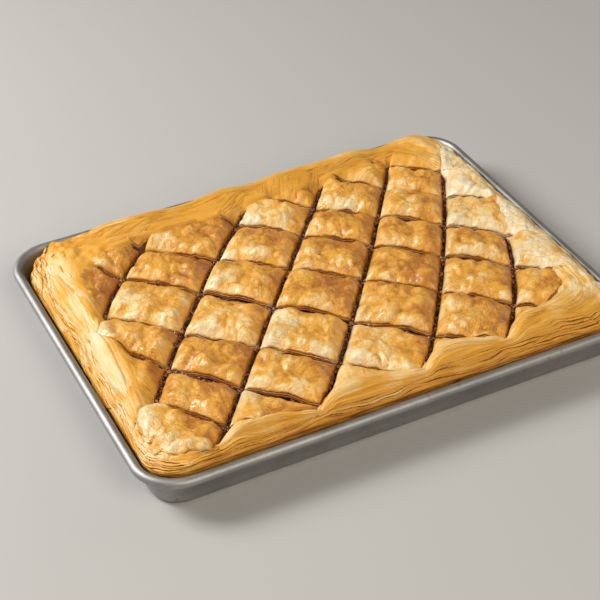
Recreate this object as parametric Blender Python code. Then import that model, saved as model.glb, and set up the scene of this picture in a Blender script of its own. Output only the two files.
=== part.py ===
"""Baklava in its baking tray.

A shallow rectangular tray with a rolled rim holds a slab of layered pastry. The slab is cut into
columns and rows of diamonds, and its stacked sheets stand up as a raised border along the tray's
walls. Each whole diamond is its own solid. The pieces that the border cuts short stay fused to it.

The origin is the middle of the tray's underside. +X runs along the tray and +Z is up.
Lengths below are in millimetres and angles in degrees.
"""
import math
import random
from dataclasses import dataclass

import bmesh
import bpy
import numpy as np

MM = 0.001

# Tray
TRAY_LENGTH = 315.0
TRAY_WIDTH = 246.0
TRAY_HEIGHT = 25.0
TRAY_CORNER = 27.0
RIM_RADIUS = 3.0
RIM_SIDES = 8
SHEET = 1.0
WALL_FLARE = 4.0
FLOOR_BEND = 5.0
CORNER_STEPS = 6
# Further in, the border's corners turn on a radius that grows by this much for each millimetre.
CORNER_GROWTH = 0.6

# Pastry
FLOOR_GAP = 0.4
SLAB_TOP = 30.5
CUT_DROP = 4.6
BORDER_CUT_DROP = 2.8
CUT_SHOULDER = 11.0
PUFF = 1.6
BLISTER = 0.9
CREST_WAVE = 1.2
EDGE_WAVE = 0.5
LEDGE_TREAD = 0.8
LEDGE_DROP = 0.9
LEDGE_WAVE = 0.1
PIECE_LIFT = 0.9
PIECE_TILT = 0.035

# Mesh fineness: stretches of the border's outline on a long side, a short side and a corner
STATIONS = (26, 18, 4)
LEDGES = 3
LOW_LEVELS = (6.0, 12.0)
INNER_RINGS = (0.0, 0.3, 0.65, 1.0)
DEEP_RINGS = 7
DEEPEST_RING = 59.0
PIECE_POINTS = 16
PIECE_RINGS = (0.84, 0.5)


@dataclass(frozen=True)
class Cut:
    """A knife cut: how far it passes from the tray's middle, its direction, its bow and its two ends."""

    offset: float
    angle: float
    bow: float
    start: float
    end: float
    half_width: float

    def axes(self):
        turn = math.radians(self.angle)
        return math.cos(turn), math.sin(turn)

    def along(self, x, y):
        cos, sin = self.axes()
        return x * cos + y * sin

    def across(self, x, y):
        """Distance to the cut, positive on its upper side."""
        cos, sin = self.axes()
        return y * cos - x * sin - self.offset - self.bow * (self.along(x, y) / 100) ** 2

    def distance(self, x, y):
        """Distance to the stretch that is cut."""
        along = self.along(x, y)
        beyond = np.maximum(np.maximum(self.start - along, along - self.end), 0)
        return np.hypot(self.across(x, y), beyond)

    def point(self, along, across=0.0):
        cos, sin = self.axes()
        out = self.offset + self.bow * (along / 100) ** 2 + across
        return along * cos - out * sin, along * sin + out * cos


def long_cut(offset, angle, bow, start, end):
    return Cut(offset, angle, bow, start, end, half_width=1.15)


def cross_cut(offset, angle, bow, start, end):
    return Cut(offset, angle, bow, start, end, half_width=0.65)


# The long cuts, from the far left corner to the near right one.
LONG_CUTS = (
    long_cut(114, 43, -15, -77, -6),
    long_cut(65, 49, -4, -129, 62),
    long_cut(19, 51, 0, -152, 103),
    long_cut(-28, 53, 2, -118, 122),
    long_cut(-75, 56, 4, -79, 123),
    long_cut(-119, 58, 14, -50, 53),
)
# The cross cuts, from the far right corner to the near left one.
CROSS_CUTS = (
    cross_cut(137, -43, 0, -8, 40),
    cross_cut(110, -42, 0, -8, 82),
    cross_cut(78, -42, -2, -48, 105),
    cross_cut(47, -43, 0, -64, 127),
    cross_cut(10, -42, -2, -112, 138),
    cross_cut(-30, -45, 1, -122, 102),
    cross_cut(-69, -45, 1, -108, 78),
    cross_cut(-106, -49, 8, -76, 42),
    cross_cut(-136, -54, 0, -34, 16),
)
# Past the last long cut the border closes the column, so this line bounds it without being cut.
COLUMN_LINES = LONG_CUTS + (long_cut(-166, 58, 0, 0, 0),)
# For each column between two long cuts, the first and last row of its whole diamonds.
WHOLE_ROWS = ((3, 5), (2, 7), (1, 6), (0, 5), (2, 4), (3, 3))


@dataclass(frozen=True)
class Dip:
    """A place where one side of the border sinks or draws back: how far its sizes change there.

    at is the place along the side, and before and after are how far the change reaches to either hand.
    """

    at: float
    before: float
    after: float
    wall_gap: float = 0.0
    crest_top: float = 0.0
    crest_in: float = 0.0
    crease_in: float = 0.0

    def bell(self, along):
        """1 at the place itself, falling to 0 where its reach ends."""
        off = along - self.at
        return smooth(1 - np.where(off < 0, -off / self.before, off / self.after))


@dataclass(frozen=True)
class Side:
    """One side of the border: its gap to the wall, its height there and at its crest, and how far in they lie.

    A value with a lean holds at the middle of the side and changes by the lean over 100 mm along it.
    """

    wall_gap: float
    wall_top: float
    crest_in: float
    crest_in_lean: float
    crest_top: float
    crest_top_lean: float
    crease_in: float
    crease_in_lean: float
    dips: tuple[Dip, ...] = ()


# The front side's dips are the notches where the long cuts run out through its crest.
FRONT = Side(0.9, 23.5, 15.5, 4.2, 36.5, 2.0, 25.0, 3.0, (
    Dip(-112, 14, 16, crest_top=-2.0, crest_in=-2.8, crease_in=-7.5),
    Dip(-54, 30, 16, crest_top=-2.5, crest_in=-6.0, crease_in=-11.0),
    Dip(11, 34, 17, crest_top=-3.0, crest_in=-6.5, crease_in=-11.5),
    Dip(68, 32, 17, crest_top=-3.5, crest_in=-6.0, crease_in=-11.5),
))
BACK = Side(1.5, 25.0, 10.0, -1.0, 34.0, 0.5, 27.0, -5.0, (
    Dip(-136, 20, 26, wall_gap=4.0, crest_top=-1.0, crease_in=-6.0),
    Dip(-112, 22, 22, crest_top=-3.3),
    Dip(-36, 34, 26, crest_top=-3.2),
    Dip(-30, 24, 22, crease_in=3.0),
    Dip(6, 20, 22, crest_top=-2.5),
    Dip(104, 26, 30, crest_top=-5.0),
))
LEFT = Side(2.0, 15.5, 21.0, 5.0, 33.5, 1.0, 28.0, 2.0, (
    Dip(110, 22, 20, wall_gap=4.0, crest_top=-2.5, crease_in=-6.0),
))
RIGHT = Side(3.5, 22.0, 12.0, 0.0, 32.5, -1.0, 21.0, -3.0)


def lattice(x, y, seed):
    """A fixed random value from -1 to 1 for each whole x and y."""
    value = (x * 374761393 + y * 668265263 + seed * 974711) & 0xFFFFFFFF
    value = ((value ^ (value >> 13)) * 1274126177) & 0xFFFFFFFF
    return ((value ^ (value >> 16)) & 0xFFFF) / 0x7FFF - 1


def waves(x, y, seed):
    """Smooth uneven relief from -1 to 1, with a swell for each unit of x and y."""
    x, y = np.asarray(x, float), np.asarray(y, float)
    left, low = np.floor(x).astype(np.int64), np.floor(y).astype(np.int64)
    u, v = x - left, y - low
    u, v = u * u * (3 - 2 * u), v * v * (3 - 2 * v)
    near = lattice(left, low, seed) * (1 - u) + lattice(left + 1, low, seed) * u
    far = lattice(left, low + 1, seed) * (1 - u) + lattice(left + 1, low + 1, seed) * u
    return near * (1 - v) + far * v


def smooth(value):
    value = np.clip(value, 0, 1)
    return value * value * (3 - 2 * value)


def wall_at(z):
    """How far in the tray's inner wall stands at height z, counted from where it meets the rim."""
    lift = (z - FLOOR_BEND) / (TRAY_HEIGHT - RIM_RADIUS - FLOOR_BEND)
    return WALL_FLARE * (1 - min(max(lift, 0), 1))


def rounded_ring(inset, radius, count_corner, count_long=1, count_short=1):
    """Points of the tray's outline moved in by inset, anticlockwise from the front right, with their normals."""
    half_x, half_y = TRAY_LENGTH / 2 - inset - radius, TRAY_WIDTH / 2 - inset - radius
    corners = ((half_x, -half_y, -90), (half_x, half_y, 0), (-half_x, half_y, 90), (-half_x, -half_y, 180))
    points = []
    for index, (x, y, first) in enumerate(corners):
        turns = [math.radians(first + 90 * step / count_corner) for step in range(count_corner + 1)]
        arc = [(x + radius * math.cos(t), y + radius * math.sin(t), math.cos(t), math.sin(t)) for t in turns]
        after = corners[(index + 1) % 4]
        end = arc[-1]
        start = (after[0] + radius * end[2], after[1] + radius * end[3])
        straight = count_short if index % 2 == 0 else count_long
        for step in range(1, straight):
            part = step / straight
            arc.append((end[0] + (start[0] - end[0]) * part, end[1] + (start[1] - end[1]) * part, end[2], end[3]))
        points += arc
    return np.array(points)


def inward(x, y):
    """Distance in from the tray's inner wall at rim height, and how far that wall faces along x and y.

    The lines of equal distance are straight beside the walls, and rounder at the corners further in.
    """
    inset = 2 * RIM_RADIUS
    radius = TRAY_CORNER - inset
    from_x, from_y = TRAY_LENGTH / 2 - inset - np.abs(x), TRAY_WIDTH / 2 - inset - np.abs(y)
    flat = np.minimum(from_x, from_y)
    # A corner's middle moves in by reach for each millimetre that its line of equal distance does.
    reach = 1 + CORNER_GROWTH
    out_x, out_y = radius - from_x, radius - from_y
    square = 2 * reach**2 - CORNER_GROWTH**2
    linear = 2 * reach * (out_x + out_y) - 2 * radius * CORNER_GROWTH
    constant = out_x**2 + out_y**2 - radius**2
    curved = (-linear + np.sqrt(np.maximum(linear**2 - 4 * square * constant, 0))) / (2 * square)
    at_corner = (out_x + reach * flat > 0) & (out_y + reach * flat > 0)
    pull = smooth(0.5 + (out_x - out_y) / 50)
    return np.where(at_corner, curved, flat), pull * np.sign(x), (1 - pull) * np.sign(y)


def side_value(x, y, name):
    """A border size at a place: the four sides' values, blended round the corners."""
    _, to_x, to_y = inward(x, y)

    def value(side, along):
        size = getattr(side, name) + getattr(side, name + "_lean", 0.0) * along / 100
        return size + sum(getattr(dip, name, 0.0) * dip.bell(along) for dip in side.dips)

    return (
        np.maximum(to_x, 0) * value(RIGHT, y)
        + np.maximum(-to_x, 0) * value(LEFT, y)
        + np.maximum(to_y, 0) * value(BACK, x)
        + np.maximum(-to_y, 0) * value(FRONT, x)
    )


def cut_softness(family, x, y):
    """0 at a cut, rising to 1 a shoulder's width away from every cut of the family."""
    nearest = np.min([cut.distance(x, y) for cut in family], axis=0)
    return 1 - (1 - np.clip(nearest / CUT_SHOULDER, 0, 1)) ** 2.2


def slab_top(x, y, blister, cut_drop):
    """Height of the pastry's upper side, with blisters and a slope down to the cuts of these sizes."""
    x, y = np.asarray(x, float), np.asarray(y, float)
    distance, _, _ = inward(x, y)
    crest_in = side_value(x, y, "crest_in")
    crest_top = side_value(x, y, "crest_top") + CREST_WAVE * waves(x / 30, y / 30, 3)
    wall_top = side_value(x, y, "wall_top")
    crease_in = side_value(x, y, "crease_in")
    rise = np.sin(np.clip(distance / crest_in, 0, 1) * math.pi / 2) ** 0.8
    fall = smooth((distance - crest_in) / (crease_in - crest_in))
    outer = wall_top + (crest_top - wall_top) * rise
    inner = crest_top - (crest_top - SLAB_TOP) * fall
    base = np.where(distance < crest_in, outer, inner)
    # Long cuts notch the crest. Cross cuts fade out before it.
    cross = 1 - (1 - cut_softness(CROSS_CUTS, x, y)) * fall
    softness = cut_softness(LONG_CUTS, x, y) * cross
    swell = (PUFF + blister * waves(x / 15, y / 11, 7)) * softness * fall
    drop = cut_drop * (1 - softness) * smooth(distance / crest_in)
    return base + swell - drop


def make_object(name, points, faces, material):
    mesh = bpy.data.meshes.new(name)
    mesh.from_pydata([tuple(float(c) * MM for c in point) for point in points], [], faces)
    body = bmesh.new()
    body.from_mesh(mesh)
    bmesh.ops.remove_doubles(body, verts=body.verts, dist=1e-6)
    bmesh.ops.triangulate(body, faces=body.faces, quad_method="SHORT_EDGE")
    bmesh.ops.recalc_face_normals(body, faces=body.faces)
    body.to_mesh(mesh)
    body.free()
    mesh.materials.append(material)
    mesh.shade_smooth()
    made = bpy.data.objects.new(name, mesh)
    bpy.context.collection.objects.link(made)
    return made


def loft(rings, close_first=True, close_last=True):
    """Faces that join rings of points, each with as many points as the one before it or twice as many."""
    points, faces, start = list(rings[0]), [], 0
    for before, ring in zip(rings, rings[1:]):
        count, fine, upper = len(before), len(ring) // len(before), start + len(before)
        for step in range(count):
            near, after = start + step, start + (step + 1) % count
            high = [upper + (step * fine + more) % len(ring) for more in range(fine + 1)]
            if fine == 1:
                faces.append((near, after, high[1], high[0]))
            else:
                faces += [(near, high[1], high[0]), (near, after, high[1]), (after, high[2], high[1])]
        points += list(ring)
        start = upper
    if close_first:
        faces.append(tuple(range(len(rings[0])))[::-1])
    if close_last:
        faces.append(tuple(range(start, start + len(rings[-1]))))
    return points, faces


def finish(name, colour, roughness, metallic=0.0):
    material = bpy.data.materials.new(name)
    material.use_nodes = True
    shader = material.node_tree.nodes["Principled BSDF"]
    shader.inputs["Base Color"].default_value = (*colour, 1)
    shader.inputs["Roughness"].default_value = roughness
    shader.inputs["Metallic"].default_value = metallic
    return material


def tray(material):
    """The tray: its profile from the underside's middle, round the rolled rim, to the floor's middle."""
    rim_middle = TRAY_HEIGHT - RIM_RADIUS
    outer_foot = 2 * RIM_RADIUS + WALL_FLARE - SHEET
    profile = [(outer_foot + FLOOR_BEND, 0), (outer_foot + 1.5, 1.2), (outer_foot, FLOOR_BEND)]
    for step in range(RIM_SIDES + 1):
        # The roll starts under the rim, beside the wall, and ends on top of its inner side.
        turn = math.radians(-60 - 240 * step / RIM_SIDES)
        profile.append((RIM_RADIUS + RIM_RADIUS * math.cos(turn), rim_middle + RIM_RADIUS * math.sin(turn)))
    profile += [
        (2 * RIM_RADIUS, rim_middle),
        (2 * RIM_RADIUS + WALL_FLARE, FLOOR_BEND),
        (2 * RIM_RADIUS + WALL_FLARE + 1.5, SHEET + 1.2),
        (2 * RIM_RADIUS + WALL_FLARE + FLOOR_BEND, SHEET),
    ]
    rings = []
    for inset, z in profile:
        ring = rounded_ring(inset, TRAY_CORNER - inset, CORNER_STEPS)
        rings.append([(x, y, z) for x, y, _, _ in ring])
    return make_object("tray", *loft(rings), material)


def border_slab(material):
    """The whole slab before its diamonds are taken out, as rings from the wall inwards."""

    def ring_at(inset, fine):
        radius = TRAY_CORNER - 2 * RIM_RADIUS + CORNER_GROWTH * inset
        long, short, corner = (count * fine for count in STATIONS)
        return rounded_ring(2 * RIM_RADIUS + inset, radius, corner, long, short)[:, :2]

    def points_at(inset, fine=1):
        """The outline moved in by its own distance at each station."""
        return np.array([ring_at(distance, fine)[k] for k, distance in enumerate(inset)])

    def sizes_on(edge):
        return [side_value(edge[:, 0], edge[:, 1], name) for name in ("wall_gap", "crest_in", "crease_in")]

    wall_gap, crest_in, crease_in = sizes_on(ring_at(0, 1))
    station = np.arange(len(wall_gap))
    foot = points_at(wall_at(0) + FLOOR_BEND + wall_gap)
    rings = [np.column_stack([foot, np.full(len(foot), SHEET + FLOOR_GAP)])]
    # Low on the wall, the sheets' cut ends lie back from it by their own uneven amounts.
    for level in LOW_LEVELS:
        inset = wall_at(level) + wall_gap + EDGE_WAVE * waves(station / 3, level, 17)
        rings.append(np.column_stack([points_at(inset), np.full(len(station), level)]))
    # Each ledge is a tread that rises gently and a riser at its inner end.
    for ledge in range(LEDGES):
        for end in (0.0, LEDGE_TREAD):
            part = (ledge + end) / LEDGES
            wave = LEDGE_WAVE * waves(station / 4 + 31 * ledge, ledge, 23) * (part > 0)
            flat = points_at(wall_gap + (crest_in - wall_gap) * np.clip(part + wave, 0, 1))
            height = slab_top(flat[:, 0], flat[:, 1], 0.0, BORDER_CUT_DROP)
            rings.append(np.column_stack([flat, height - (LEDGE_DROP if end else 0.0)]))
    inner = [points_at(crest_in + (crease_in - crest_in) * part) for part in INNER_RINGS]
    # The pieces that stay fused to the border need a finer mesh.
    _, _, crease_in = sizes_on(ring_at(0, 2))
    for ring in range(1, DEEP_RINGS + 1):
        inner.append(points_at(crease_in + (DEEPEST_RING - crease_in) * ring / DEEP_RINGS, 2))
    for flat in inner:
        rings.append(np.column_stack([flat, slab_top(flat[:, 0], flat[:, 1], 0.0, BORDER_CUT_DROP)]))
    return make_object("pastry_border", *loft([list(map(tuple, ring)) for ring in rings]), material)


def cell_limits(column, row):
    """The two long cuts and two cross cuts round a diamond: upper long, lower long, upper cross, lower cross."""
    return COLUMN_LINES[column], COLUMN_LINES[column + 1], CROSS_CUTS[row], CROSS_CUTS[row + 1]


def cell_middle(column, row):
    """Where the lines halfway between a diamond's cuts meet."""
    upper, lower, far, near = cell_limits(column, row)
    x, y = 0.0, 0.0
    for _ in range(30):
        slip_long = (upper.across(x, y) + lower.across(x, y)) / 2
        slip_cross = (far.across(x, y) + near.across(x, y)) / 2
        (cos_a, sin_a), (cos_b, sin_b) = lower.axes(), near.axes()
        x += slip_long * sin_a * 0.8 + slip_cross * sin_b * 0.8
        y -= slip_long * cos_a * 0.8 + slip_cross * cos_b * 0.8
    return x, y


def room(column, row, x, y, grow):
    """How far a place is inside its diamond, whose outline is moved out by grow times its cuts' half width."""
    upper, lower, far, near = cell_limits(column, row)
    distance, _, _ = inward(x, y)
    crease = side_value(x, y, "crease_in") - 2.0
    rooms = (
        -upper.across(x, y) + grow * upper.half_width,
        lower.across(x, y) + grow * lower.half_width,
        -far.across(x, y) + grow * far.half_width,
        near.across(x, y) + grow * near.half_width,
        distance - crease + grow * 0.5,
    )
    return np.min(rooms, axis=0)


def cell_outline(column, row, grow, count):
    """Outline of a diamond, with a point at each corner and the rest spread evenly between the corners."""
    middle = cell_middle(column, row)
    dense = 240
    turns = np.arange(dense) * 2 * math.pi / dense
    rays = np.column_stack([np.cos(turns), np.sin(turns)])
    near, far = np.zeros(dense), np.full(dense, 60.0)
    for _ in range(22):
        half = (near + far) / 2
        place = middle + rays * half[:, None]
        inside = room(column, row, place[:, 0], place[:, 1], grow) > 0
        near, far = np.where(inside, half, near), np.where(inside, far, half)
    ring = middle + rays * near[:, None]
    before, after = np.roll(ring, 6, axis=0) - ring, np.roll(ring, -6, axis=0) - ring
    spread = (before * after).sum(1) / (np.linalg.norm(before, axis=1) * np.linalg.norm(after, axis=1))
    corners = [
        k for k in range(dense)
        if spread[k] > -0.86 and spread[k] == spread[np.arange(k - 10, k + 11) % dense].max()
    ]
    lengths = np.linalg.norm(np.roll(ring, -1, axis=0) - ring, axis=1)
    outline = []
    spans = [((b - a) % dense) or dense for a, b in zip(corners, corners[1:] + corners[:1])]
    sides = [lengths[np.arange(a, a + span) % dense].sum() for a, span in zip(corners, spans)]
    shares = [max(2, round(count * side / sum(sides))) for side in sides]
    shares[sides.index(max(sides))] += count - sum(shares)
    for first, span, share in zip(corners, spans, shares):
        outline += [ring[(first + round(span * step / share)) % dense] for step in range(share)]
    return np.array(outline), middle


def piece(name, column, row, material, chance):
    """A whole diamond: a puffed top over a crust, a recessed filling and a bottom crust."""
    outline, middle = cell_outline(column, row, -1.0, PIECE_POINTS)
    middle = np.array(middle)
    lift = PIECE_LIFT * chance.uniform(-1, 1)
    tilt = [PIECE_TILT * chance.uniform(-1, 1) for _ in range(2)]

    def shrunk(by):
        """The outline moved in by a distance."""
        away = outline - middle
        return middle + away * (1 - by / np.linalg.norm(away, axis=1))[:, None]

    def top(flat):
        height = slab_top(flat[:, 0], flat[:, 1], BLISTER, CUT_DROP)
        return height + lift + (flat - middle) @ tilt

    edge_top = top(outline)
    sides = [
        (1.2, np.full(len(outline), SHEET + FLOOR_GAP)),
        (0.2, np.full(len(outline), SHEET + FLOOR_GAP + 1.5)),
        (1.0, np.full(len(outline), 13.0)),
        (1.0, np.full(len(outline), 17.0)),
        (0.0, edge_top - 2.4),
    ]
    rings = [np.column_stack([shrunk(inset), height]) for inset, height in sides]
    rings.append(np.column_stack([shrunk(0.5), edge_top]))
    for scale in PIECE_RINGS:
        flat = middle + (outline - middle) * scale
        rings.append(np.column_stack([flat, top(flat)]))
    points, faces = loft([list(map(tuple, ring)) for ring in rings], close_last=False)
    last = len(points) - len(outline)
    points.append((*middle, float(top(middle[None])[0]) + 0.3))
    peak = len(points) - 1
    for step in range(len(outline)):
        faces.append((last + step, last + (step + 1) % len(outline), peak))
    return make_object(name, points, faces, material)


def prism(name, outline, low, high):
    rings = [[(x, y, z) for x, y in outline] for z in (low, high)]
    return make_object(name, *loft(rings), finish(name, (0.5, 0.5, 0.5), 0.5))


def blade(name, cut):
    """The slot of a cut, as a thin upright solid along it."""
    steps = 6
    along = [cut.start + (cut.end - cut.start) * step / steps for step in range(steps + 1)]
    outline = [cut.point(t, -cut.half_width) for t in along]
    outline += [cut.point(t, cut.half_width) for t in reversed(along)]
    return prism(name, outline, 8.0, 70.0)


def cut_out(border, cutters):
    """Takes the cutters out of the border, keeps its largest body and removes the cutters."""
    group = bpy.data.collections.new("cutters")
    bpy.context.scene.collection.children.link(group)
    for cutter in cutters:
        bpy.context.collection.objects.unlink(cutter)
        group.objects.link(cutter)
    modifier = border.modifiers.new("diamonds", "BOOLEAN")
    modifier.operation = "DIFFERENCE"
    modifier.operand_type = "COLLECTION"
    modifier.collection = group
    modifier.solver = "EXACT"
    modifier.use_self = True
    bpy.context.view_layer.update()
    mesh = bpy.data.meshes.new_from_object(border.evaluated_get(bpy.context.evaluated_depsgraph_get()))
    border.modifiers.clear()
    border.data = mesh
    keep_largest(mesh)
    for cutter in cutters:
        bpy.data.objects.remove(cutter)
    bpy.data.collections.remove(group)


def keep_largest(mesh):
    body = bmesh.new()
    body.from_mesh(mesh)
    bmesh.ops.remove_doubles(body, verts=body.verts, dist=2e-5)
    bmesh.ops.dissolve_degenerate(body, edges=body.edges, dist=1e-5)
    bmesh.ops.triangulate(body, faces=body.faces)
    left = set(body.verts)
    islands = []
    while left:
        found = [left.pop()]
        island = set(found)
        while found:
            for edge in found.pop().link_edges:
                for vert in edge.verts:
                    if vert in left:
                        left.remove(vert)
                        island.add(vert)
                        found.append(vert)
        islands.append(island)
    islands.sort(key=len)
    for island in islands[:-1]:
        bmesh.ops.delete(body, geom=list(island), context="VERTS")
    body.to_mesh(mesh)
    body.free()


def main():
    for old in list(bpy.data.objects):
        bpy.data.objects.remove(old)
    steel = finish("satin_steel", (0.42, 0.41, 0.40), 0.38, 1.0)
    crust = finish("golden_crust", (0.62, 0.36, 0.11), 0.45)
    sheets = finish("stacked_sheets", (0.70, 0.44, 0.16), 0.5)
    tray(steel)
    border = border_slab(sheets)
    chance = random.Random(12)
    cutters = [blade(f"slot_{k}", cut) for k, cut in enumerate(LONG_CUTS + CROSS_CUTS)]
    for column, (first, last) in enumerate(WHOLE_ROWS):
        for row in range(first, last + 1):
            name = f"piece_{column + 1}_{row + 1}"
            piece(name, column, row, crust, chance)
            hole, _ = cell_outline(column, row, 1.0, PIECE_POINTS)
            cutters.append(prism("hole_" + name, hole, -10.0, 70.0))
    cut_out(border, cutters)


main()
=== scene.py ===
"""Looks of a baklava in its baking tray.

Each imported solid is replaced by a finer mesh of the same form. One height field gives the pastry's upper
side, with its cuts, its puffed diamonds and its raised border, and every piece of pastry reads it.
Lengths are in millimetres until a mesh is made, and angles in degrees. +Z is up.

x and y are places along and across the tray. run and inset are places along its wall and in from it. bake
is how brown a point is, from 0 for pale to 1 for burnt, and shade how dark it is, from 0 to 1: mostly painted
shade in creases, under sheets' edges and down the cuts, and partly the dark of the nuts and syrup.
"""
import logging
import math
import random
from collections.abc import Callable
from dataclasses import dataclass
from enum import Enum
from functools import cached_property

import bmesh
import bpy
import numpy as np
from mathutils import Matrix, Vector


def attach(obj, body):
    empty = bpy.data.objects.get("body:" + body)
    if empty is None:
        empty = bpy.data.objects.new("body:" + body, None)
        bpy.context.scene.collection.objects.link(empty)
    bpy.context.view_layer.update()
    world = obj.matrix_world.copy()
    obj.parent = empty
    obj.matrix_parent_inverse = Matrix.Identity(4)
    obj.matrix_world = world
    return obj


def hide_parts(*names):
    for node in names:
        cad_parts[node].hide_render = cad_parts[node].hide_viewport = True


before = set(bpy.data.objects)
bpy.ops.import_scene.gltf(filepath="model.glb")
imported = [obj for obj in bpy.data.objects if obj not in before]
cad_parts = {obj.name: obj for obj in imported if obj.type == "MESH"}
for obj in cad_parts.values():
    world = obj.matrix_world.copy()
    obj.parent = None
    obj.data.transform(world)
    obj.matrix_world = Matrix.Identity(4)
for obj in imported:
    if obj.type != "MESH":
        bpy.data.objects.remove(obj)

Array = np.ndarray
Arrays = tuple[Array, ...]
Pair = tuple[float, float]
Triple = tuple[float, float, float]
Faces = list[tuple[int, ...]]
Socket = bpy.types.NodeSocket
MM = 0.001
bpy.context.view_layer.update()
LOG = logging.getLogger("baklava")

# Large odd numbers that scramble a place and a seed, and the bits kept on the way and at the end.
HASH_X, HASH_Y, HASH_SEED, HASH_MIX = 374761393, 668265263, 974711, 1274126177
KEPT_BITS, LAST_BITS, HALF_RANGE = 0xFFFFFFFF, 0xFFFF, 0x7FFF
# Brings the relief of ripples to about -1 to 1.
RIPPLE_GAIN = 1.6
# The free margin round a bubble's middle, its least size and height, and how sharp the creases are.
BUBBLE_MARGIN, BUBBLE_SIZE, BUBBLE_HIGH, BUBBLE_CREASE = 0.15, 0.75, 0.25, 5


def hashed(x: Array, y: Array, seed: int) -> Array:
    """A fixed random value from 0 to 1 for each whole x and y.

    Args:
        x, y: whole numbers.
        seed: picks one of many tables.

    Returns:
        The values.
    """
    x, y = np.asarray(x).astype(np.int64), np.asarray(y).astype(np.int64)
    value = (x * HASH_X + y * HASH_Y + seed * HASH_SEED) & KEPT_BITS
    value = ((value ^ (value >> 13)) * HASH_MIX) & KEPT_BITS
    return ((value ^ (value >> 16)) & LAST_BITS) / HALF_RANGE / 2


def smooth(value: Array) -> Array:
    """0 below 0, 1 above 1 and an S between."""
    value = np.clip(value, 0, 1)
    return value * value * (3 - 2 * value)


def together(*columns: Array) -> Array:
    """Coordinates side by side, in a new last axis."""
    return np.stack(np.broadcast_arrays(*columns), -1)


def turned(x: Array, y: Array, turn: float) -> Arrays:
    """Places along and across a direction, which is given in radians."""
    cos, sin = math.cos(turn), math.sin(turn)
    return x * cos + y * sin, y * cos - x * sin


def square_of(x: Array, y: Array) -> Arrays:
    """The least x and y of the unit square that each place lies in, and how far past them it is."""
    x, y = np.broadcast_arrays(np.asarray(x, float), np.asarray(y, float))
    return np.floor(x), np.floor(y), x - np.floor(x), y - np.floor(y)


def blended(corner: Callable[[int, int], Array], u: Array, v: Array) -> Array:
    """Blends what a function gives for the four corners of a unit square.

    Args:
        corner: gives the value for a step of 0 or 1 in x and a step of 0 or 1 in y.
        u, v: how far each place is along x and along y.

    Returns:
        The value at each place.
    """
    u, v = smooth(u), smooth(v)
    near = corner(0, 0) * (1 - u) + corner(1, 0) * u
    far = corner(0, 1) * (1 - u) + corner(1, 1) * u
    return near * (1 - v) + far * v


def waves(x: Array, y: Array, seed: int) -> Array:
    """Smooth uneven relief from -1 to 1, with a swell for each unit of x and y.

    Args:
        x, y: places along one direction and the other.
        seed: picks one of many reliefs.

    Returns:
        The relief at each place.
    """
    left, low, u, v = square_of(x, y)

    def level(step_x: int, step_y: int) -> Array:
        """The height at a corner."""
        return hashed(left + step_x, low + step_y, seed)

    return 2 * blended(level, u, v) - 1


def ripples(x: Array, y: Array, seed: int) -> Array:
    """Rounder relief than waves, about -1 to 1 and 0 at each whole x and y.

    Args:
        x, y: places along one direction and the other.
        seed: picks one of many reliefs.

    Returns:
        The relief at each place.
    """
    left, low, u, v = square_of(x, y)

    def slope(step_x: int, step_y: int) -> Array:
        """The height of a plane that tilts at random through a corner."""
        turn = 2 * math.pi * hashed(left + step_x, low + step_y, seed)
        return np.cos(turn) * (u - step_x) + np.sin(turn) * (v - step_y)

    return RIPPLE_GAIN * blended(slope, u, v)


def blisters(x: Array, y: Array, seed: int, soft: float = 0.1) -> Array:
    """Round hills of about one unit with creases between them, from 0 in a crease to about 1."""
    return np.sqrt(ripples(x, y, seed) ** 2 + soft**2) - soft


def bubbles(x: Array, y: Array, seed: int) -> Array:
    """Rounded bubbles of uneven height, about one to a unit, from 0 in the creases between them to about 1.

    Args:
        x, y: places along one direction and the other.
        seed: picks one of many reliefs.

    Returns:
        The relief at each place.
    """
    left, low, u, v = square_of(x, y)
    total = np.zeros(u.shape)
    for step_x in (-1, 0, 1):
        for step_y in (-1, 0, 1):
            chances = [hashed(left + step_x, low + step_y, seed + table) for table in (0, 500, 900, 1300)]
            off_x = u - step_x - BUBBLE_MARGIN - (1 - 2 * BUBBLE_MARGIN) * chances[0]
            off_y = v - step_y - BUBBLE_MARGIN - (1 - 2 * BUBBLE_MARGIN) * chances[1]
            size = BUBBLE_SIZE + 0.45 * chances[2]
            high = BUBBLE_HIGH + (1 - BUBBLE_HIGH) * chances[3]
            total += (high * np.maximum(1 - (off_x**2 + off_y**2) / size**2, 0)) ** BUBBLE_CREASE
    return total ** (1 / BUBBLE_CREASE)


@dataclass(frozen=True)
class Knife:
    """A cut: how far it passes from the tray's middle, its direction, its bow and its two ends.

    The bow is how far the cut bends aside 100 mm from its middle.
    """

    offset: float
    angle: float
    bow: float
    start: float
    end: float
    half_width: float

    def axes(self) -> Pair:
        """The cut's direction."""
        turn = math.radians(self.angle)
        return math.cos(turn), math.sin(turn)

    def along(self, x: Array, y: Array) -> Array:
        """How far along the cut a place lies."""
        cos, sin = self.axes()
        return x * cos + y * sin

    def across(self, x: Array, y: Array) -> Array:
        """Distance to the cut's line, positive on its upper side."""
        cos, sin = self.axes()
        return y * cos - x * sin - self.offset - self.bow * (self.along(x, y) / 100) ** 2

    def past_end(self, x: Array, y: Array) -> Array:
        """How far past the nearer end of the cut a place lies, negative between its ends."""
        along = self.along(x, y)
        return np.maximum(self.start - along, along - self.end)

    def distance(self, x: Array, y: Array) -> Array:
        """Distance to the stretch that is cut."""
        return np.hypot(self.across(x, y), np.maximum(self.past_end(x, y), 0))

    def point(self, along: Array, across: Array) -> Arrays:
        """The place so far along the cut and so far across it."""
        (cos, sin), out = self.axes(), self.offset + self.bow * (along / 100) ** 2 + across
        return along * cos - out * sin, along * sin + out * cos


LONG_HALF, CROSS_HALF, WIDE_HALF = 1.15, 0.65, 1.3
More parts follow.
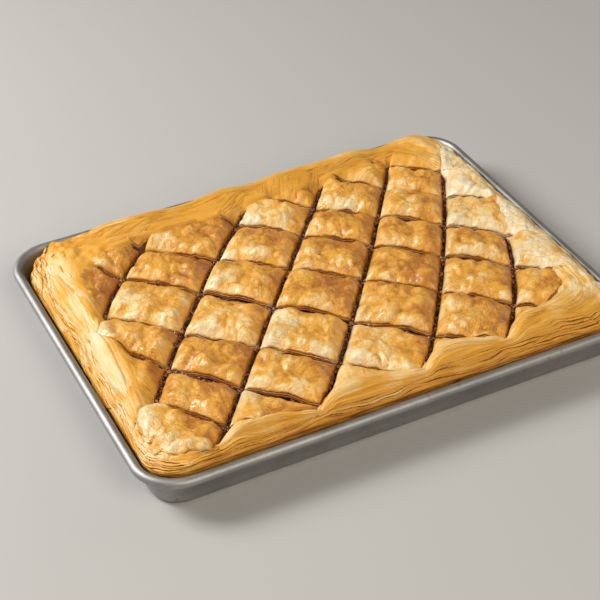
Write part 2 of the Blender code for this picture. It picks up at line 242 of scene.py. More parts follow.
# The long cuts, from the far left corner to the near right one.
LONG_CUTS = (
    Knife(114, 43, -15, -77, -6, LONG_HALF),
    Knife(65, 49, -4, -129, 62, LONG_HALF),
    Knife(19, 51, 0, -152, 103, LONG_HALF),
    Knife(-28, 53, 2, -118, 122, LONG_HALF),
    Knife(-75, 56, 4, -79, 123, LONG_HALF),
    Knife(-119, 58, 14, -50, 53, LONG_HALF),
)
# The cross cuts, from the far right corner to the near left one.
CROSS_CUTS = (
    Knife(137, -43, 0, -8, 40, CROSS_HALF),
    Knife(110, -42, 0, -8, 82, CROSS_HALF),
    Knife(78, -42, -2, -48, 105, CROSS_HALF),
    Knife(47, -43, 0, -64, 127, CROSS_HALF),
    Knife(10, -42, -2, -112, 138, CROSS_HALF),
    Knife(-30, -45, 1, -122, 102, WIDE_HALF),
    Knife(-69, -45, 1, -108, 78, CROSS_HALF),
    Knife(-106, -49, 8, -76, 42, WIDE_HALF),
    Knife(-136, -54, 0, -34, 16, CROSS_HALF),
)
# Past the last long cut the border closes the column, so this line bounds it without being cut.
COLUMN_LINES = LONG_CUTS + (Knife(-166, 58, 0, 0, 0, LONG_HALF),)
# For each column between two long cuts, the first and last row of its whole diamonds.
WHOLE_ROWS = ((3, 5), (2, 7), (1, 6), (0, 5), (2, 4), (3, 3))


@dataclass(frozen=True)
class Dip:
    """A place where one side of the border sinks or draws back: how far its sizes change there.

    at is the place along the side, and before and after are how far the change reaches to either hand.
    """

    at: float
    before: float
    after: float
    wall_gap: float = 0.0
    crest_top: float = 0.0
    crest_in: float = 0.0
    crease_in: float = 0.0

    def bell(self, along: Array) -> Array:
        """1 at the place itself, falling to 0 where its reach ends."""
        off = along - self.at
        return smooth(1 - np.where(off < 0, -off / self.before, off / self.after))


@dataclass(frozen=True)
class Side:
    """One side of the border: its gap to the wall, its heights, and how far in its crest and crease lie.

    A value with a lean holds at the middle of the side and changes by the lean over 100 mm along it. The
    rest is the look of its sheets: how many show, how far their edges stand out and wander, how far up the
    slope they show, how deep its folds and puckers are, and how brown it is at the crest, on its slope, at
    the wall and on its inner slope.
    """

    wall_gap: float
    wall_top: float
    crest_in: float
    crest_in_lean: float
    crest_top: float
    crest_top_lean: float
    crease_in: float
    crease_in_lean: float
    layers: float
    lip: float
    wander: float
    reach: float
    fold: float
    pucker: float
    bake: float
    slope_bake: float
    wall_bake: float
    inner_bake: float
    dips: tuple[Dip, ...] = ()

    def size(self, name: str, along: Array) -> Array:
        """One of the sizes at places along the side, with its lean and its dips."""
        dips = [dip for dip in self.dips if getattr(dip, name, 0.0)]
        size = getattr(self, name) + getattr(self, name + "_lean", 0.0) * along / 100
        return size + sum(getattr(dip, name) * dip.bell(along) for dip in dips)


# The front side's dips are the notches where the long cuts run out through its crest.
FRONT_DIPS = (
    Dip(-112, 14, 16, crest_top=-2.0, crest_in=-2.8, crease_in=-7.5),
    Dip(-54, 30, 16, crest_top=-2.5, crest_in=-6.0, crease_in=-11.0),
    Dip(11, 34, 17, crest_top=-3.0, crest_in=-6.5, crease_in=-11.5),
    Dip(68, 32, 17, crest_top=-3.5, crest_in=-6.0, crease_in=-11.5),
)
BACK_DIPS = (
    Dip(-136, 20, 26, wall_gap=4.0, crest_top=-1.0, crease_in=-6.0),
    Dip(-112, 22, 22, crest_top=-3.3),
    Dip(-36, 34, 26, crest_top=-3.2),
    Dip(-30, 24, 22, crease_in=3.0),
    Dip(6, 20, 22, crest_top=-2.5),
    Dip(104, 26, 30, crest_top=-5.0),
)
LEFT_DIPS = (Dip(110, 22, 20, wall_gap=4.0, crest_top=-2.5, crease_in=-6.0),)


@dataclass(frozen=True)
class Slab:
    """The pastry's form: the tray's inner outline, the border's sides and the height of the upper side.

    corner_growth is how much the corners' radius grows for each millimetre in, and corner_blend is the
    stretch over which one side's sizes pass into the next one's. cut_drop is how far the top sinks at a
    cut, cut_shoulder how wide the shoulder beside it is, and cut_round how full. puff is how far a diamond
    swells, blister how much that varies, and crest_wave how much the crest rises and sinks.
    """

    length: float = 315.0
    width: float = 246.0
    corner: float = 27.0
    rim: float = 6.0
    corner_growth: float = 0.6
    corner_blend: float = 50.0
    slab_top: float = 30.5
    cut_drop: float = 4.6
    cut_shoulder: float = 11.0
    cut_round: float = 2.2
    puff: float = 1.6
    blister: float = 0.9
    swell_size: Pair = (15.0, 11.0)
    crest_wave: float = 1.2
    crest_wave_size: float = 30.0
    slope_round: float = 0.8
    front: Side = Side(
        wall_gap=0.9, wall_top=23.5, crest_in=15.5, crest_in_lean=4.2, crest_top=36.5, crest_top_lean=2.0,
        crease_in=25.0, crease_in_lean=3.0, layers=15, lip=0.95, wander=0.8, reach=0.2, fold=0.9, pucker=0.35,
        bake=0.2, slope_bake=0.3, wall_bake=0.42, inner_bake=0.2, dips=FRONT_DIPS,
    )
    back: Side = Side(
        wall_gap=1.5, wall_top=25.0, crest_in=10.0, crest_in_lean=-1.0, crest_top=34.0, crest_top_lean=0.5,
        crease_in=27.0, crease_in_lean=-5.0, layers=7, lip=0.1, wander=0.1, reach=0.15, fold=1.0, pucker=0.2,
        bake=0.39, slope_bake=0.38, wall_bake=0.34, inner_bake=0.42, dips=BACK_DIPS,
    )
    left: Side = Side(
        wall_gap=2.0, wall_top=15.5, crest_in=21.0, crest_in_lean=5.0, crest_top=33.5, crest_top_lean=1.0,
        crease_in=28.0, crease_in_lean=2.0, layers=19, lip=1.1, wander=0.8, reach=0.5, fold=0.8, pucker=0.1,
        bake=0.13, slope_bake=0.08, wall_bake=0.22, inner_bake=0.34, dips=LEFT_DIPS,
    )
    right: Side = Side(
        wall_gap=3.5, wall_top=22.0, crest_in=12.0, crest_in_lean=0.0, crest_top=32.5, crest_top_lean=-1.0,
        crease_in=21.0, crease_in_lean=-3.0, layers=8, lip=0.3, wander=0.6, reach=0.5, fold=0.7, pucker=1.5,
        bake=-0.06, slope_bake=0.04, wall_bake=0.2, inner_bake=0.05,
    )

    def inward(self, x: Array, y: Array) -> Arrays:
        """Distance in from the tray's inner wall, and how far that wall faces along x and y.

        Args:
            x, y: places along and across the tray.

        Returns:
            The distance, the x part and the y part.
        """
        radius = self.corner - self.rim
        from_x, from_y = self.length / 2 - self.rim - np.abs(x), self.width / 2 - self.rim - np.abs(y)
        flat = np.minimum(from_x, from_y)
        reach = 1 + self.corner_growth
        out_x, out_y = radius - from_x, radius - from_y
        # At a corner the distance solves a quadratic, because the corner's radius grows with it.
        square = 2 * reach**2 - self.corner_growth**2
        linear = 2 * reach * (out_x + out_y) - 2 * radius * self.corner_growth
        constant = out_x**2 + out_y**2 - radius**2
        curved = (-linear + np.sqrt(np.maximum(linear**2 - 4 * square * constant, 0))) / (2 * square)
        at_corner = (out_x + reach * flat > 0) & (out_y + reach * flat > 0)
        pull = smooth(0.5 + (out_x - out_y) / self.corner_blend)
        return np.where(at_corner, curved, flat), pull * np.sign(x), (1 - pull) * np.sign(y)

    def sizes(self, x: Array, y: Array, *names: str) -> list[Array]:
        """Border sizes at each place: the four sides' values, blended round the corners.

        Args:
            x, y: places along and across the tray.
            names: which of a side's sizes.

        Returns:
            The size at each place, for each name.
        """
        _, to_x, to_y = self.inward(x, y)
        shares = (
            (self.right, y, np.maximum(to_x, 0)),
            (self.left, y, np.maximum(-to_x, 0)),
            (self.back, x, np.maximum(to_y, 0)),
            (self.front, x, np.maximum(-to_y, 0)),
        )
        return [sum(share * side.size(name, along) for side, along, share in shares) for name in names]

    def side(self, x: Array, y: Array, name: str) -> Array:
        """One border size at each place."""
        return self.sizes(x, y, name)[0]

    def softness(self, family: tuple[Knife, ...], x: Array, y: Array) -> Array:
        """0 at a cut, rising to 1 a shoulder's width away from every cut of the family."""
        nearest = np.min([cut.distance(x, y) for cut in family], axis=0)
        return 1 - (1 - np.clip(nearest / self.cut_shoulder, 0, 1)) ** self.cut_round

    def top(self, x: Array, y: Array, blister: float) -> Array:
        """Height of the pastry's upper side.

        Args:
            x, y: places along and across the tray.
            blister: how far its swells rise and sink.

        Returns:
            The height at each place.
        """
        distance, _, _ = self.inward(x, y)
        wall_top, crest_in, crest_top, crease_in = self.sizes(
            x, y, "wall_top", "crest_in", "crest_top", "crease_in"
        )
        crest_top = crest_top + self.crest_wave * waves(x / self.crest_wave_size, y / self.crest_wave_size, 3)
        rise = np.sin(np.clip(distance / crest_in, 0, 1) * math.pi / 2) ** self.slope_round
        fall = smooth((distance - crest_in) / (crease_in - crest_in))
        outer = wall_top + (crest_top - wall_top) * rise
        inner = crest_top - (crest_top - self.slab_top) * fall
        base = np.where(distance < crest_in, outer, inner)
        cross = 1 - (1 - self.softness(CROSS_CUTS, x, y)) * fall
        softness = self.softness(LONG_CUTS, x, y) * cross
        uneven = waves(x / self.swell_size[0], y / self.swell_size[1], 7)
        swell = (self.puff + blister * uneven) * softness * fall
        return base + swell - self.cut_drop * (1 - softness) * smooth(distance / crest_in)


SLAB = Slab()


class Mask(Enum):
    """What each point of a pastry mesh tells its material."""

    BAKE = "bake"
    SHADE = "shade"
    GRAIN = "grain"


def add_object(name: str, data: bpy.types.ID) -> bpy.types.Object:
    """Adds an object to the scene.

    Args:
        name: its name.
        data: its mesh, light or camera.

    Returns:
        The object.
    """
    made = bpy.data.objects.new(name, data)
    bpy.context.scene.collection.objects.link(made)
    return made


@dataclass
class Skin:
    """A mesh in the making.

    points are in millimetres. bake is how brown and shade how dark each point is, the shade mostly painted
    shade. grain holds places along and across the sheets' fibres.
    """

    points: Array
    faces: Faces
    bake: Array
    shade: Array
    grain: Array

    @staticmethod
    def joined(skins: "list[Skin]") -> "Skin":
        """One skin of several, which stay loose from each other.

        Args:
            skins: the several.

        Returns:
            The one.
        """
        faces, start = [], 0
        for skin in skins:
            faces += [tuple(corner + start for corner in face) for face in skin.faces]
            start += len(skin.points)
        names = ("points", "bake", "shade", "grain")
        points, *masks = (np.concatenate([getattr(skin, name) for skin in skins]) for name in names)
        return Skin(points, faces, *masks)

    def volume(self) -> float:
        """Six times the volume inside, negative where the faces point inwards.

        Returns:
            The volume.
        """
        corners = np.array([face[:3] for face in self.faces])
        rest = np.array([(face[0], face[2], face[3]) for face in self.faces if len(face) == 4])
        total = 0.0
        for triangles in (corners, rest):
            if len(triangles):
                a, b, c = (self.points[triangles[:, k]] for k in range(3))
                total += float((a * np.cross(b, c)).sum())
        return total

    def outward(self) -> "Skin":
        """The same skin with its faces pointing out."""
        if self.volume() < 0:
            self.faces = [face[::-1] for face in self.faces]
        return self

    def make(self, name: str, material: bpy.types.Material) -> bpy.types.Object:
        """Makes the Blender object, with a mask for each point.

        Args:
            name: its name.
            material: its finish.

        Returns:
            The object.
        """
        mesh = bpy.data.meshes.new(name)
        mesh.from_pydata((self.points * MM).tolist(), [], self.faces)
        grain = together(*self.grain.T * MM, 0.0)
        for mask, kind, key, values in (
            (Mask.BAKE, "FLOAT", "value", self.bake),
            (Mask.SHADE, "FLOAT", "value", self.shade),
            (Mask.GRAIN, "FLOAT_VECTOR", "vector", grain),
        ):
            attribute = mesh.attributes.new(mask.value, kind, "POINT")
            attribute.data.foreach_set(key, values.astype(np.float32).ravel())
        mesh.shade_smooth()
        mesh.materials.append(material)
        return add_object(name, mesh)


class Rings:
    """Rings with equally many points each, gathered in order from the lowest on."""

    def __init__(self) -> None:
        """Starts with none."""
        self.rings: list[Arrays] = []

    def add(
        self, flat: Array, height: Array, bake: Array, shade: Array, grain: Array, first: bool = False
    ) -> None:
        """Adds a ring after the others or before them.

        Args:
            flat: its places along and across the tray.
            height: its height, one for all points or one for each.
            bake: how brown it is, likewise.
            shade: how dark it is, likewise.
            grain: its places along and across the fibres.
            first: whether it goes before the others.
        """
        masks = (np.broadcast_to(mask, len(flat)) for mask in (bake, np.clip(shade, 0, 1)))
        self.rings.insert(0 if first else len(self.rings), (together(*flat.T, height), *masks, grain))

    def heights(self, index: int) -> Array:
        """The heights of a ring's points."""
        return self.rings[index][0][:, 2]

    def columns(self) -> Arrays:
        """All rings' points, bakes, shades and grains, one ring after the other."""
        return tuple(np.concatenate(values) for values in zip(*self.rings))


def corner_arcs(half_x: float, half_y: float, radius: float, steps: int) -> list[Array]:
    """The corners of a rounded rectangle, anticlockwise from the near right.

    Args:
        half_x, half_y: how far the corners' middles lie from its own.
        radius: the corners' radius.
        steps: how many steps each one takes.

    Returns:
        The points of each corner.
    """
    corners = ((half_x, -half_y, -90), (half_x, half_y, 0), (-half_x, half_y, 90), (-half_x, -half_y, 180))
    arcs = []
    for x, y, first in corners:
        turns = np.radians(first + 90 * np.arange(steps + 1) / steps)
        arcs.append(together(x + radius * np.cos(turns), y + radius * np.sin(turns)))
    return arcs


def ring_faces(rows: int, count: int, closed: bool = True) -> Faces:
    """Quads between rows of points.

    Args:
        rows: how many rows.
        count: how many points each one has.
        closed: whether a row closes to a ring.

    Returns:
        The quads.
    """
    row, step = np.meshgrid(np.arange(rows - 1), np.arange(count if closed else count - 1), indexing="ij")
    near, after = row * count + step, row * count + (step + 1) % count
    return list(map(tuple, together(near, after, after + count, near + count).reshape(-1, 4).tolist()))


def normals_of(grid: Array) -> Array:
    """The upward normals of a grid of points.

    Args:
        grid: rows of points.

    Returns:
        A normal for each point.
    """
    along, across = np.gradient(grid, axis=0), np.gradient(grid, axis=1)
    normal = np.cross(along, across)
    normal *= np.sign(normal[..., 2:].mean() or 1.0)
    return normal / np.maximum(np.linalg.norm(normal, axis=-1, keepdims=True), 1e-9)


def plate(grid: Array, thickness: float, bake: Array, shade: Array, grain: Array) -> Skin:
    """A thin closed sheet over a grid of points.

    Args:
        grid: rows of points.
        thickness: of the sheet.
        bake: how brown each point is.
        shade: how dark each point is.
        grain: places along and across the fibres.

    Returns:
        The sheet.
    """
    rows, count = grid.shape[:2]
    under = grid - normals_of(grid) * thickness
    points = np.concatenate([grid.reshape(-1, 3), under.reshape(-1, 3)])
    top = ring_faces(rows, count, closed=False)
    size = rows * count
    faces = top + [tuple(corner + size for corner in face[::-1]) for face in top]
    edge = [*range(count), *range(2 * count - 1, size, count)]
    edge += [*range(size - 2, size - count - 1, -1), *range(size - 2 * count, 0, -count)]
    faces += [(b, a, a + size, b + size) for a, b in zip(edge, edge[1:] + edge[:1])]
    doubled = (np.concatenate([values.ravel()] * 2) for values in (bake, shade))
    return Skin(points, faces, *doubled, np.concatenate([grain.reshape(-1, 2)] * 2)).outward()


@dataclass(frozen=True)
class RimPath:
    """Places round the tray, by how far they lie along the wall and how far in from it.

    long, short and turn are how many steps a long side, a short side and a corner take. Lengths along the
    wall are measured on the line that lies measured_in from it.
    """

    slab: Slab
    long: int = 300
    short: int = 216
    turn: int = 36
    measured_in: float = 12.0

    def ring(self, inset: float) -> Array:
        """The tray's inner outline moved in, anticlockwise from the near right.

        Args:
            inset: how far it is moved in.

        Returns:
            Its points.
        """
        slab = self.slab
        radius = slab.corner - slab.rim + slab.corner_growth * inset
        half_x = slab.length / 2 - slab.rim - inset - radius
        half_y = slab.width / 2 - slab.rim - inset - radius
        arcs = corner_arcs(half_x, half_y, radius, self.turn)
        parts = []
        for index, arc in enumerate(arcs):
            steps = self.short if index % 2 == 0 else self.long
            share = (np.arange(1, steps) / steps)[:, None]
            parts += [arc, arc[-1] + (arcs[(index + 1) % 4][0] - arc[-1]) * share]
        return np.concatenate(parts)

    @cached_property
    def stations(self) -> Arrays:
        """Each station's place on the wall, its way in for each millimetre, and how far along the wall it is.

        Returns:
            The places, the ways and the lengths, with the whole way round as one length more.
        """
        wall = self.ring(0.0)
        middle = self.ring(self.measured_in)
        steps = np.linalg.norm(np.roll(middle, -1, axis=0) - middle, axis=1)
        return wall, self.ring(1.0) - wall, np.concatenate([[0], np.cumsum(steps)])

    def place(self, run: Array, inset: Array) -> Arrays:
        """The place so far along the wall and so far in from it.

        Args:
            run, inset: places along the wall and in from it.

        Returns:
            The places along the tray and across it.
        """
        wall, way, runs = self.stations
        run = np.mod(run, runs[-1])

        def between(values: Array) -> Array:
            """The stations' values at the places along the wall."""
            return np.interp(run, runs, np.append(values, values[0]))

        return tuple(between(wall[:, axis]) + inset * between(way[:, axis]) for axis in (0, 1))

    def locate(self, x: Array, y: Array) -> Arrays:
        """How far along the wall and how far in from it each place is.

        Args:
            x, y: places along and across the tray.

        Returns:
            The two distances.
        """
        wall, way, runs = self.stations
        inset, _, _ = self.slab.inward(x, y)
        off_x = x[:, None] - wall[:, 0] - inset[:, None] * way[:, 0]
        off_y = y[:, None] - wall[:, 1] - inset[:, None] * way[:, 1]
        nearest = np.argmin(off_x**2 + off_y**2, axis=1)
        ring = self.ring(self.measured_in)
        ahead = np.roll(ring, -1, axis=0) - np.roll(ring, 1, axis=0)
        ahead = (ahead / np.linalg.norm(ahead, axis=1)[:, None])[nearest]
        every = np.arange(len(x))
        return runs[nearest] + off_x[every, nearest] * ahead[:, 0] + off_y[every, nearest] * ahead[:, 1], inset

    def run_at(self, x: float, y: float) -> float:
        """How far along the wall the nearest station to a place is."""
        ring, _, runs = self.stations
        return float(runs[np.argmin(np.hypot(ring[:, 0] - x, ring[:, 1] - y))])


class Kind(Enum):
    """How a diamond meets the border."""

    WHOLE = "cut all the way round"
    PUFFED = "puffed up to the wall"
    BULGED = "bulges out over the crest"
    OVER = "flows up over the crest"
    DRAPED = "drapes over the crest and down its outer slope"
    FUSED = "one surface with the border"
    UNDER = "tucked under the border"


@dataclass(frozen=True)
class Limit:
    """How far a kind of diamond reaches out to the wall.

    line names the border size that it stops at, past how far inside that line it stops, ragged how much and
    ragged_size how quickly its edge wanders there, and frayed how much it wanders within 3 mm. spill is how far
    it spreads over a cut's line past the end of the cut.
    """

    line: str
    past: float
    ragged: float = 0.0
    ragged_size: float = 6.0
    frayed: float = 0.0
    spill: float = 0.0


LIMITS = {
    Kind.WHOLE: Limit("crease_in", -2.0),
    Kind.PUFFED: Limit("wall_gap", 1.4, 0.9, 5.0, spill=2.6),
    Kind.BULGED: Limit("wall_gap", 4.0, 2.2, 7.0, 1.4, spill=8.0),
    Kind.OVER: Limit("crest_in", -1.2, 1.3),
    Kind.DRAPED: Limit("crest_in", -7.0, 1.5),
    Kind.FUSED: Limit("crest_in", 0.5),
    Kind.UNDER: Limit("crease_in", -8.0),
}
# How far a diamond's outline is moved out, in half widths of a cut, to its own ground and to its top's edge.
TO_WALL, TO_EDGE = -1.0, -0.75


@dataclass(frozen=True)
class Cell:
    """The diamond between two long cuts and two cross cuts, whole or cut short by the border.

    Where a diamond has no cut on one side, its edge there counts as open_edge away. Its outline is looked
    for up to farthest from its middle.
    """

    column: int
    row: int
    kind: Kind
    open_edge: float = 30.0
    farthest: float = 70.0

    @property
    def name(self) -> str:
        """The diamond's name, by its column and row."""
        return f"{self.column + 1}_{self.row + 1}"

    def limits(self) -> list[tuple[float, Knife]]:
        """The cuts round the diamond, each with the side of it that the diamond lies on.

        Returns:
            -1 or 1 and the cut, for each.
        """
        found = []
        for lines, first in ((COLUMN_LINES, self.column), (CROSS_CUTS, self.row)):
            if first >= 0:
                found.append((-1.0, lines[first]))
            if first + 1 < len(lines):
                found.append((1.0, lines[first + 1]))
        return found

    def edges(self, x: Array, y: Array) -> Arrays:
        """How far inside each of the diamond's edges a place is.

        Args:
            x, y: places along and across the tray.

        Returns:
            The distances from the left and right long cuts and from the far and near cross cuts.
        """
        found = []
        for lines, first in ((COLUMN_LINES, self.column), (CROSS_CUTS, self.row)):
            for side, index in ((-1.0, first), (1.0, first + 1)):
                known = 0 <= index < len(lines)
                found.append(side * lines[index].across(x, y) if known else 0.0 * x + self.open_edge)
        return tuple(found)

    def spill(self, cut: Knife, x: Array, y: Array) -> Array:
        """How far the diamond spreads over a cut's line past the end of the cut."""
        reach = LIMITS[self.kind].spill
        return reach * smooth(cut.past_end(x, y) / (2 + reach))

    def room(self, x: Array, y: Array, grow: float) -> Array:
        """How far a place is inside the diamond.

        Args:
            x, y: places along and across the tray.
            grow: how far the outline is moved out, in half widths of the cuts.

        Returns:
            The distance to the nearest edge, negative outside.
        """
        limit = LIMITS[self.kind]
        distance, _, _ = SLAB.inward(x, y)
        least = SLAB.side(x, y, limit.line) + limit.past
        if limit.ragged:
            least = least - limit.ragged * waves(x / limit.ragged_size, y / limit.ragged_size, 91)
        if limit.frayed:
            least = least - limit.frayed * ripples(x / 3, y / 3, 92)
        if self.kind is Kind.WHOLE:
            least = least - grow * 0.5
        rooms = [distance - least]
        for side, cut in self.limits():
            rooms.append(side * cut.across(x, y) + grow * cut.half_width + self.spill(cut, x, y))
        return np.min(rooms, axis=0)

    def ground(self, step: float) -> Arrays:
        """The points of a grid that lie inside the diamond.

        Args:
            step: the distance between the points.

        Returns:
            Their places along the tray and across it.
        """
        half_x, half_y = SLAB.length / 2, SLAB.width / 2
        x, y = np.meshgrid(np.arange(-half_x, half_x, step), np.arange(-half_y, half_y, step))
        inside = self.room(x, y, TO_WALL) > 0
        return x[inside], y[inside]

    def middle(self, step: float = 1.5) -> Pair:
        """The middle of the diamond's own ground."""
        x, y = self.ground(step)
        return float(x.mean()), float(y.mean())

    def area(self, step: float = 2.0) -> float:
        """The ground that the diamond covers, in square millimetres."""
        return len(self.ground(step)[0]) * step**2

    def crossing(self, rounds: int = 30, pace: float = 0.8) -> Pair:
        """Where the lines halfway between a whole diamond's cuts meet, which its tilt turns about.

        Args:
            rounds: how often the place is bettered.
            pace: which share of its error each round takes away.

        Returns:
            The place along the tray and across it.
        """
        pairs = (COLUMN_LINES[self.column:self.column + 2], CROSS_CUTS[self.row:self.row + 2])
        x, y = 0.0, 0.0
        for _ in range(rounds):
            slips = [(first.across(x, y) + second.across(x, y)) / 2 for first, second in pairs]
            for slip, (_, second) in zip(slips, pairs):
                cos, sin = second.axes()
                x += slip * sin * pace
                y -= slip * cos * pace
        return x, y

    def outline(self, count: int) -> Arrays:
        """The diamond's uneven cut edge.

        Args:
            count: how many points it takes.

        Returns:
            The points, and the middle that they were found from.
        """
        middle = np.array(self.middle())
        turns = np.arange(4 * count) * math.pi / (2 * count)
        rays = together(np.cos(turns), np.sin(turns))
        near, far = np.zeros(len(turns)), np.full(len(turns), self.farthest)
        for _ in range(24):
            half = (near + far) / 2
            place = middle + rays * half[:, None]
            inside = self.room(place[:, 0], place[:, 1], TO_EDGE) > 0
            near, far = np.where(inside, half, near), np.where(inside, far, half)
        ring = middle + rays * near[:, None]
        steps = np.linalg.norm(np.roll(ring, -1, axis=0) - ring, axis=1)
        lengths = np.concatenate([[0], np.cumsum(steps)])
        wanted = lengths[-1] * np.arange(count) / count
        closed = np.vstack([ring, ring[:1]])
        even = together(*(np.interp(wanted, lengths, column) for column in closed.T))
        # The knife leaves soft corners and a slightly ragged edge.
        for _ in range(2):
            even = (np.roll(even, 1, axis=0) + 2 * even + np.roll(even, -1, axis=0)) / 4
        x, y = even.T
        ragged = 0.32 * ripples(x / 5, y / 5, 71) + 0.14 * ripples(x / 1.7, y / 1.7, 72)
        away = even - middle
        return even + away / np.linalg.norm(away, axis=1)[:, None] * ragged[:, None], middle


@dataclass(frozen=True)
class Puffs:
    """Bubbles of one size under a diamond's crust.

    long and wide are their size and seed picks their places. high is how far they rise, level the share of
    that which leaves the top as high as it was, and pale how much paler they draw the top, a painted highlight.
    """

    long: float
    wide: float
    seed: int
    high: float
    level: float
    pale: float

    def at(self, along: Array, across: Array) -> Array:
        """How far up a bubble each place is, from 0 to about 1."""
        return bubbles(along / self.long, across / self.wide, self.seed)

    def rise(self, puff: Array) -> Array:
        """How far so much puff lifts the top."""
        return self.high * (puff - self.level)


BROAD = Puffs(11.0, 9.0, 33, 3.9, 0.5, 0.45)
FLUTES = Puffs(11.0, 4.3, 23, 3.6, 0.45, 0.5)
FRILLS = Puffs(3.8, 8.0, 24, 1.7, 0.4, 0.35)
SMALL = Puffs(4.6, 3.6, 34, 1.4, 0.45, 0.4)
TINY = Puffs(2.3, 2.0, 28, 1.0, 0.5, 0.15)


@dataclass(frozen=True)
class BrowningAndPaintedLight:
    """How brown the tops of diamonds are, and how much each thing adds to that, painted light included.

    base is a usual diamond's, and own how much it matters that one is browner than usual. flat_swell is the
    swelling that adds nothing. swell draws swollen places paler and left_edge_highlight the left edge, a
    painted highlight;
    crease draws creases browner, painted shade; far_right is partly browning and partly painted shade.
    """

    base: float = 0.3
    own: float = 0.75
    usual: float = 0.33
    patches: float = 0.24
    spots: float = 0.12
    far_right: float = 0.17
    swell: float = -0.56
    flat_swell: float = 0.68
    left_edge_highlight: float = -0.16
    crease: float = 0.28
    rim: float = 0.2


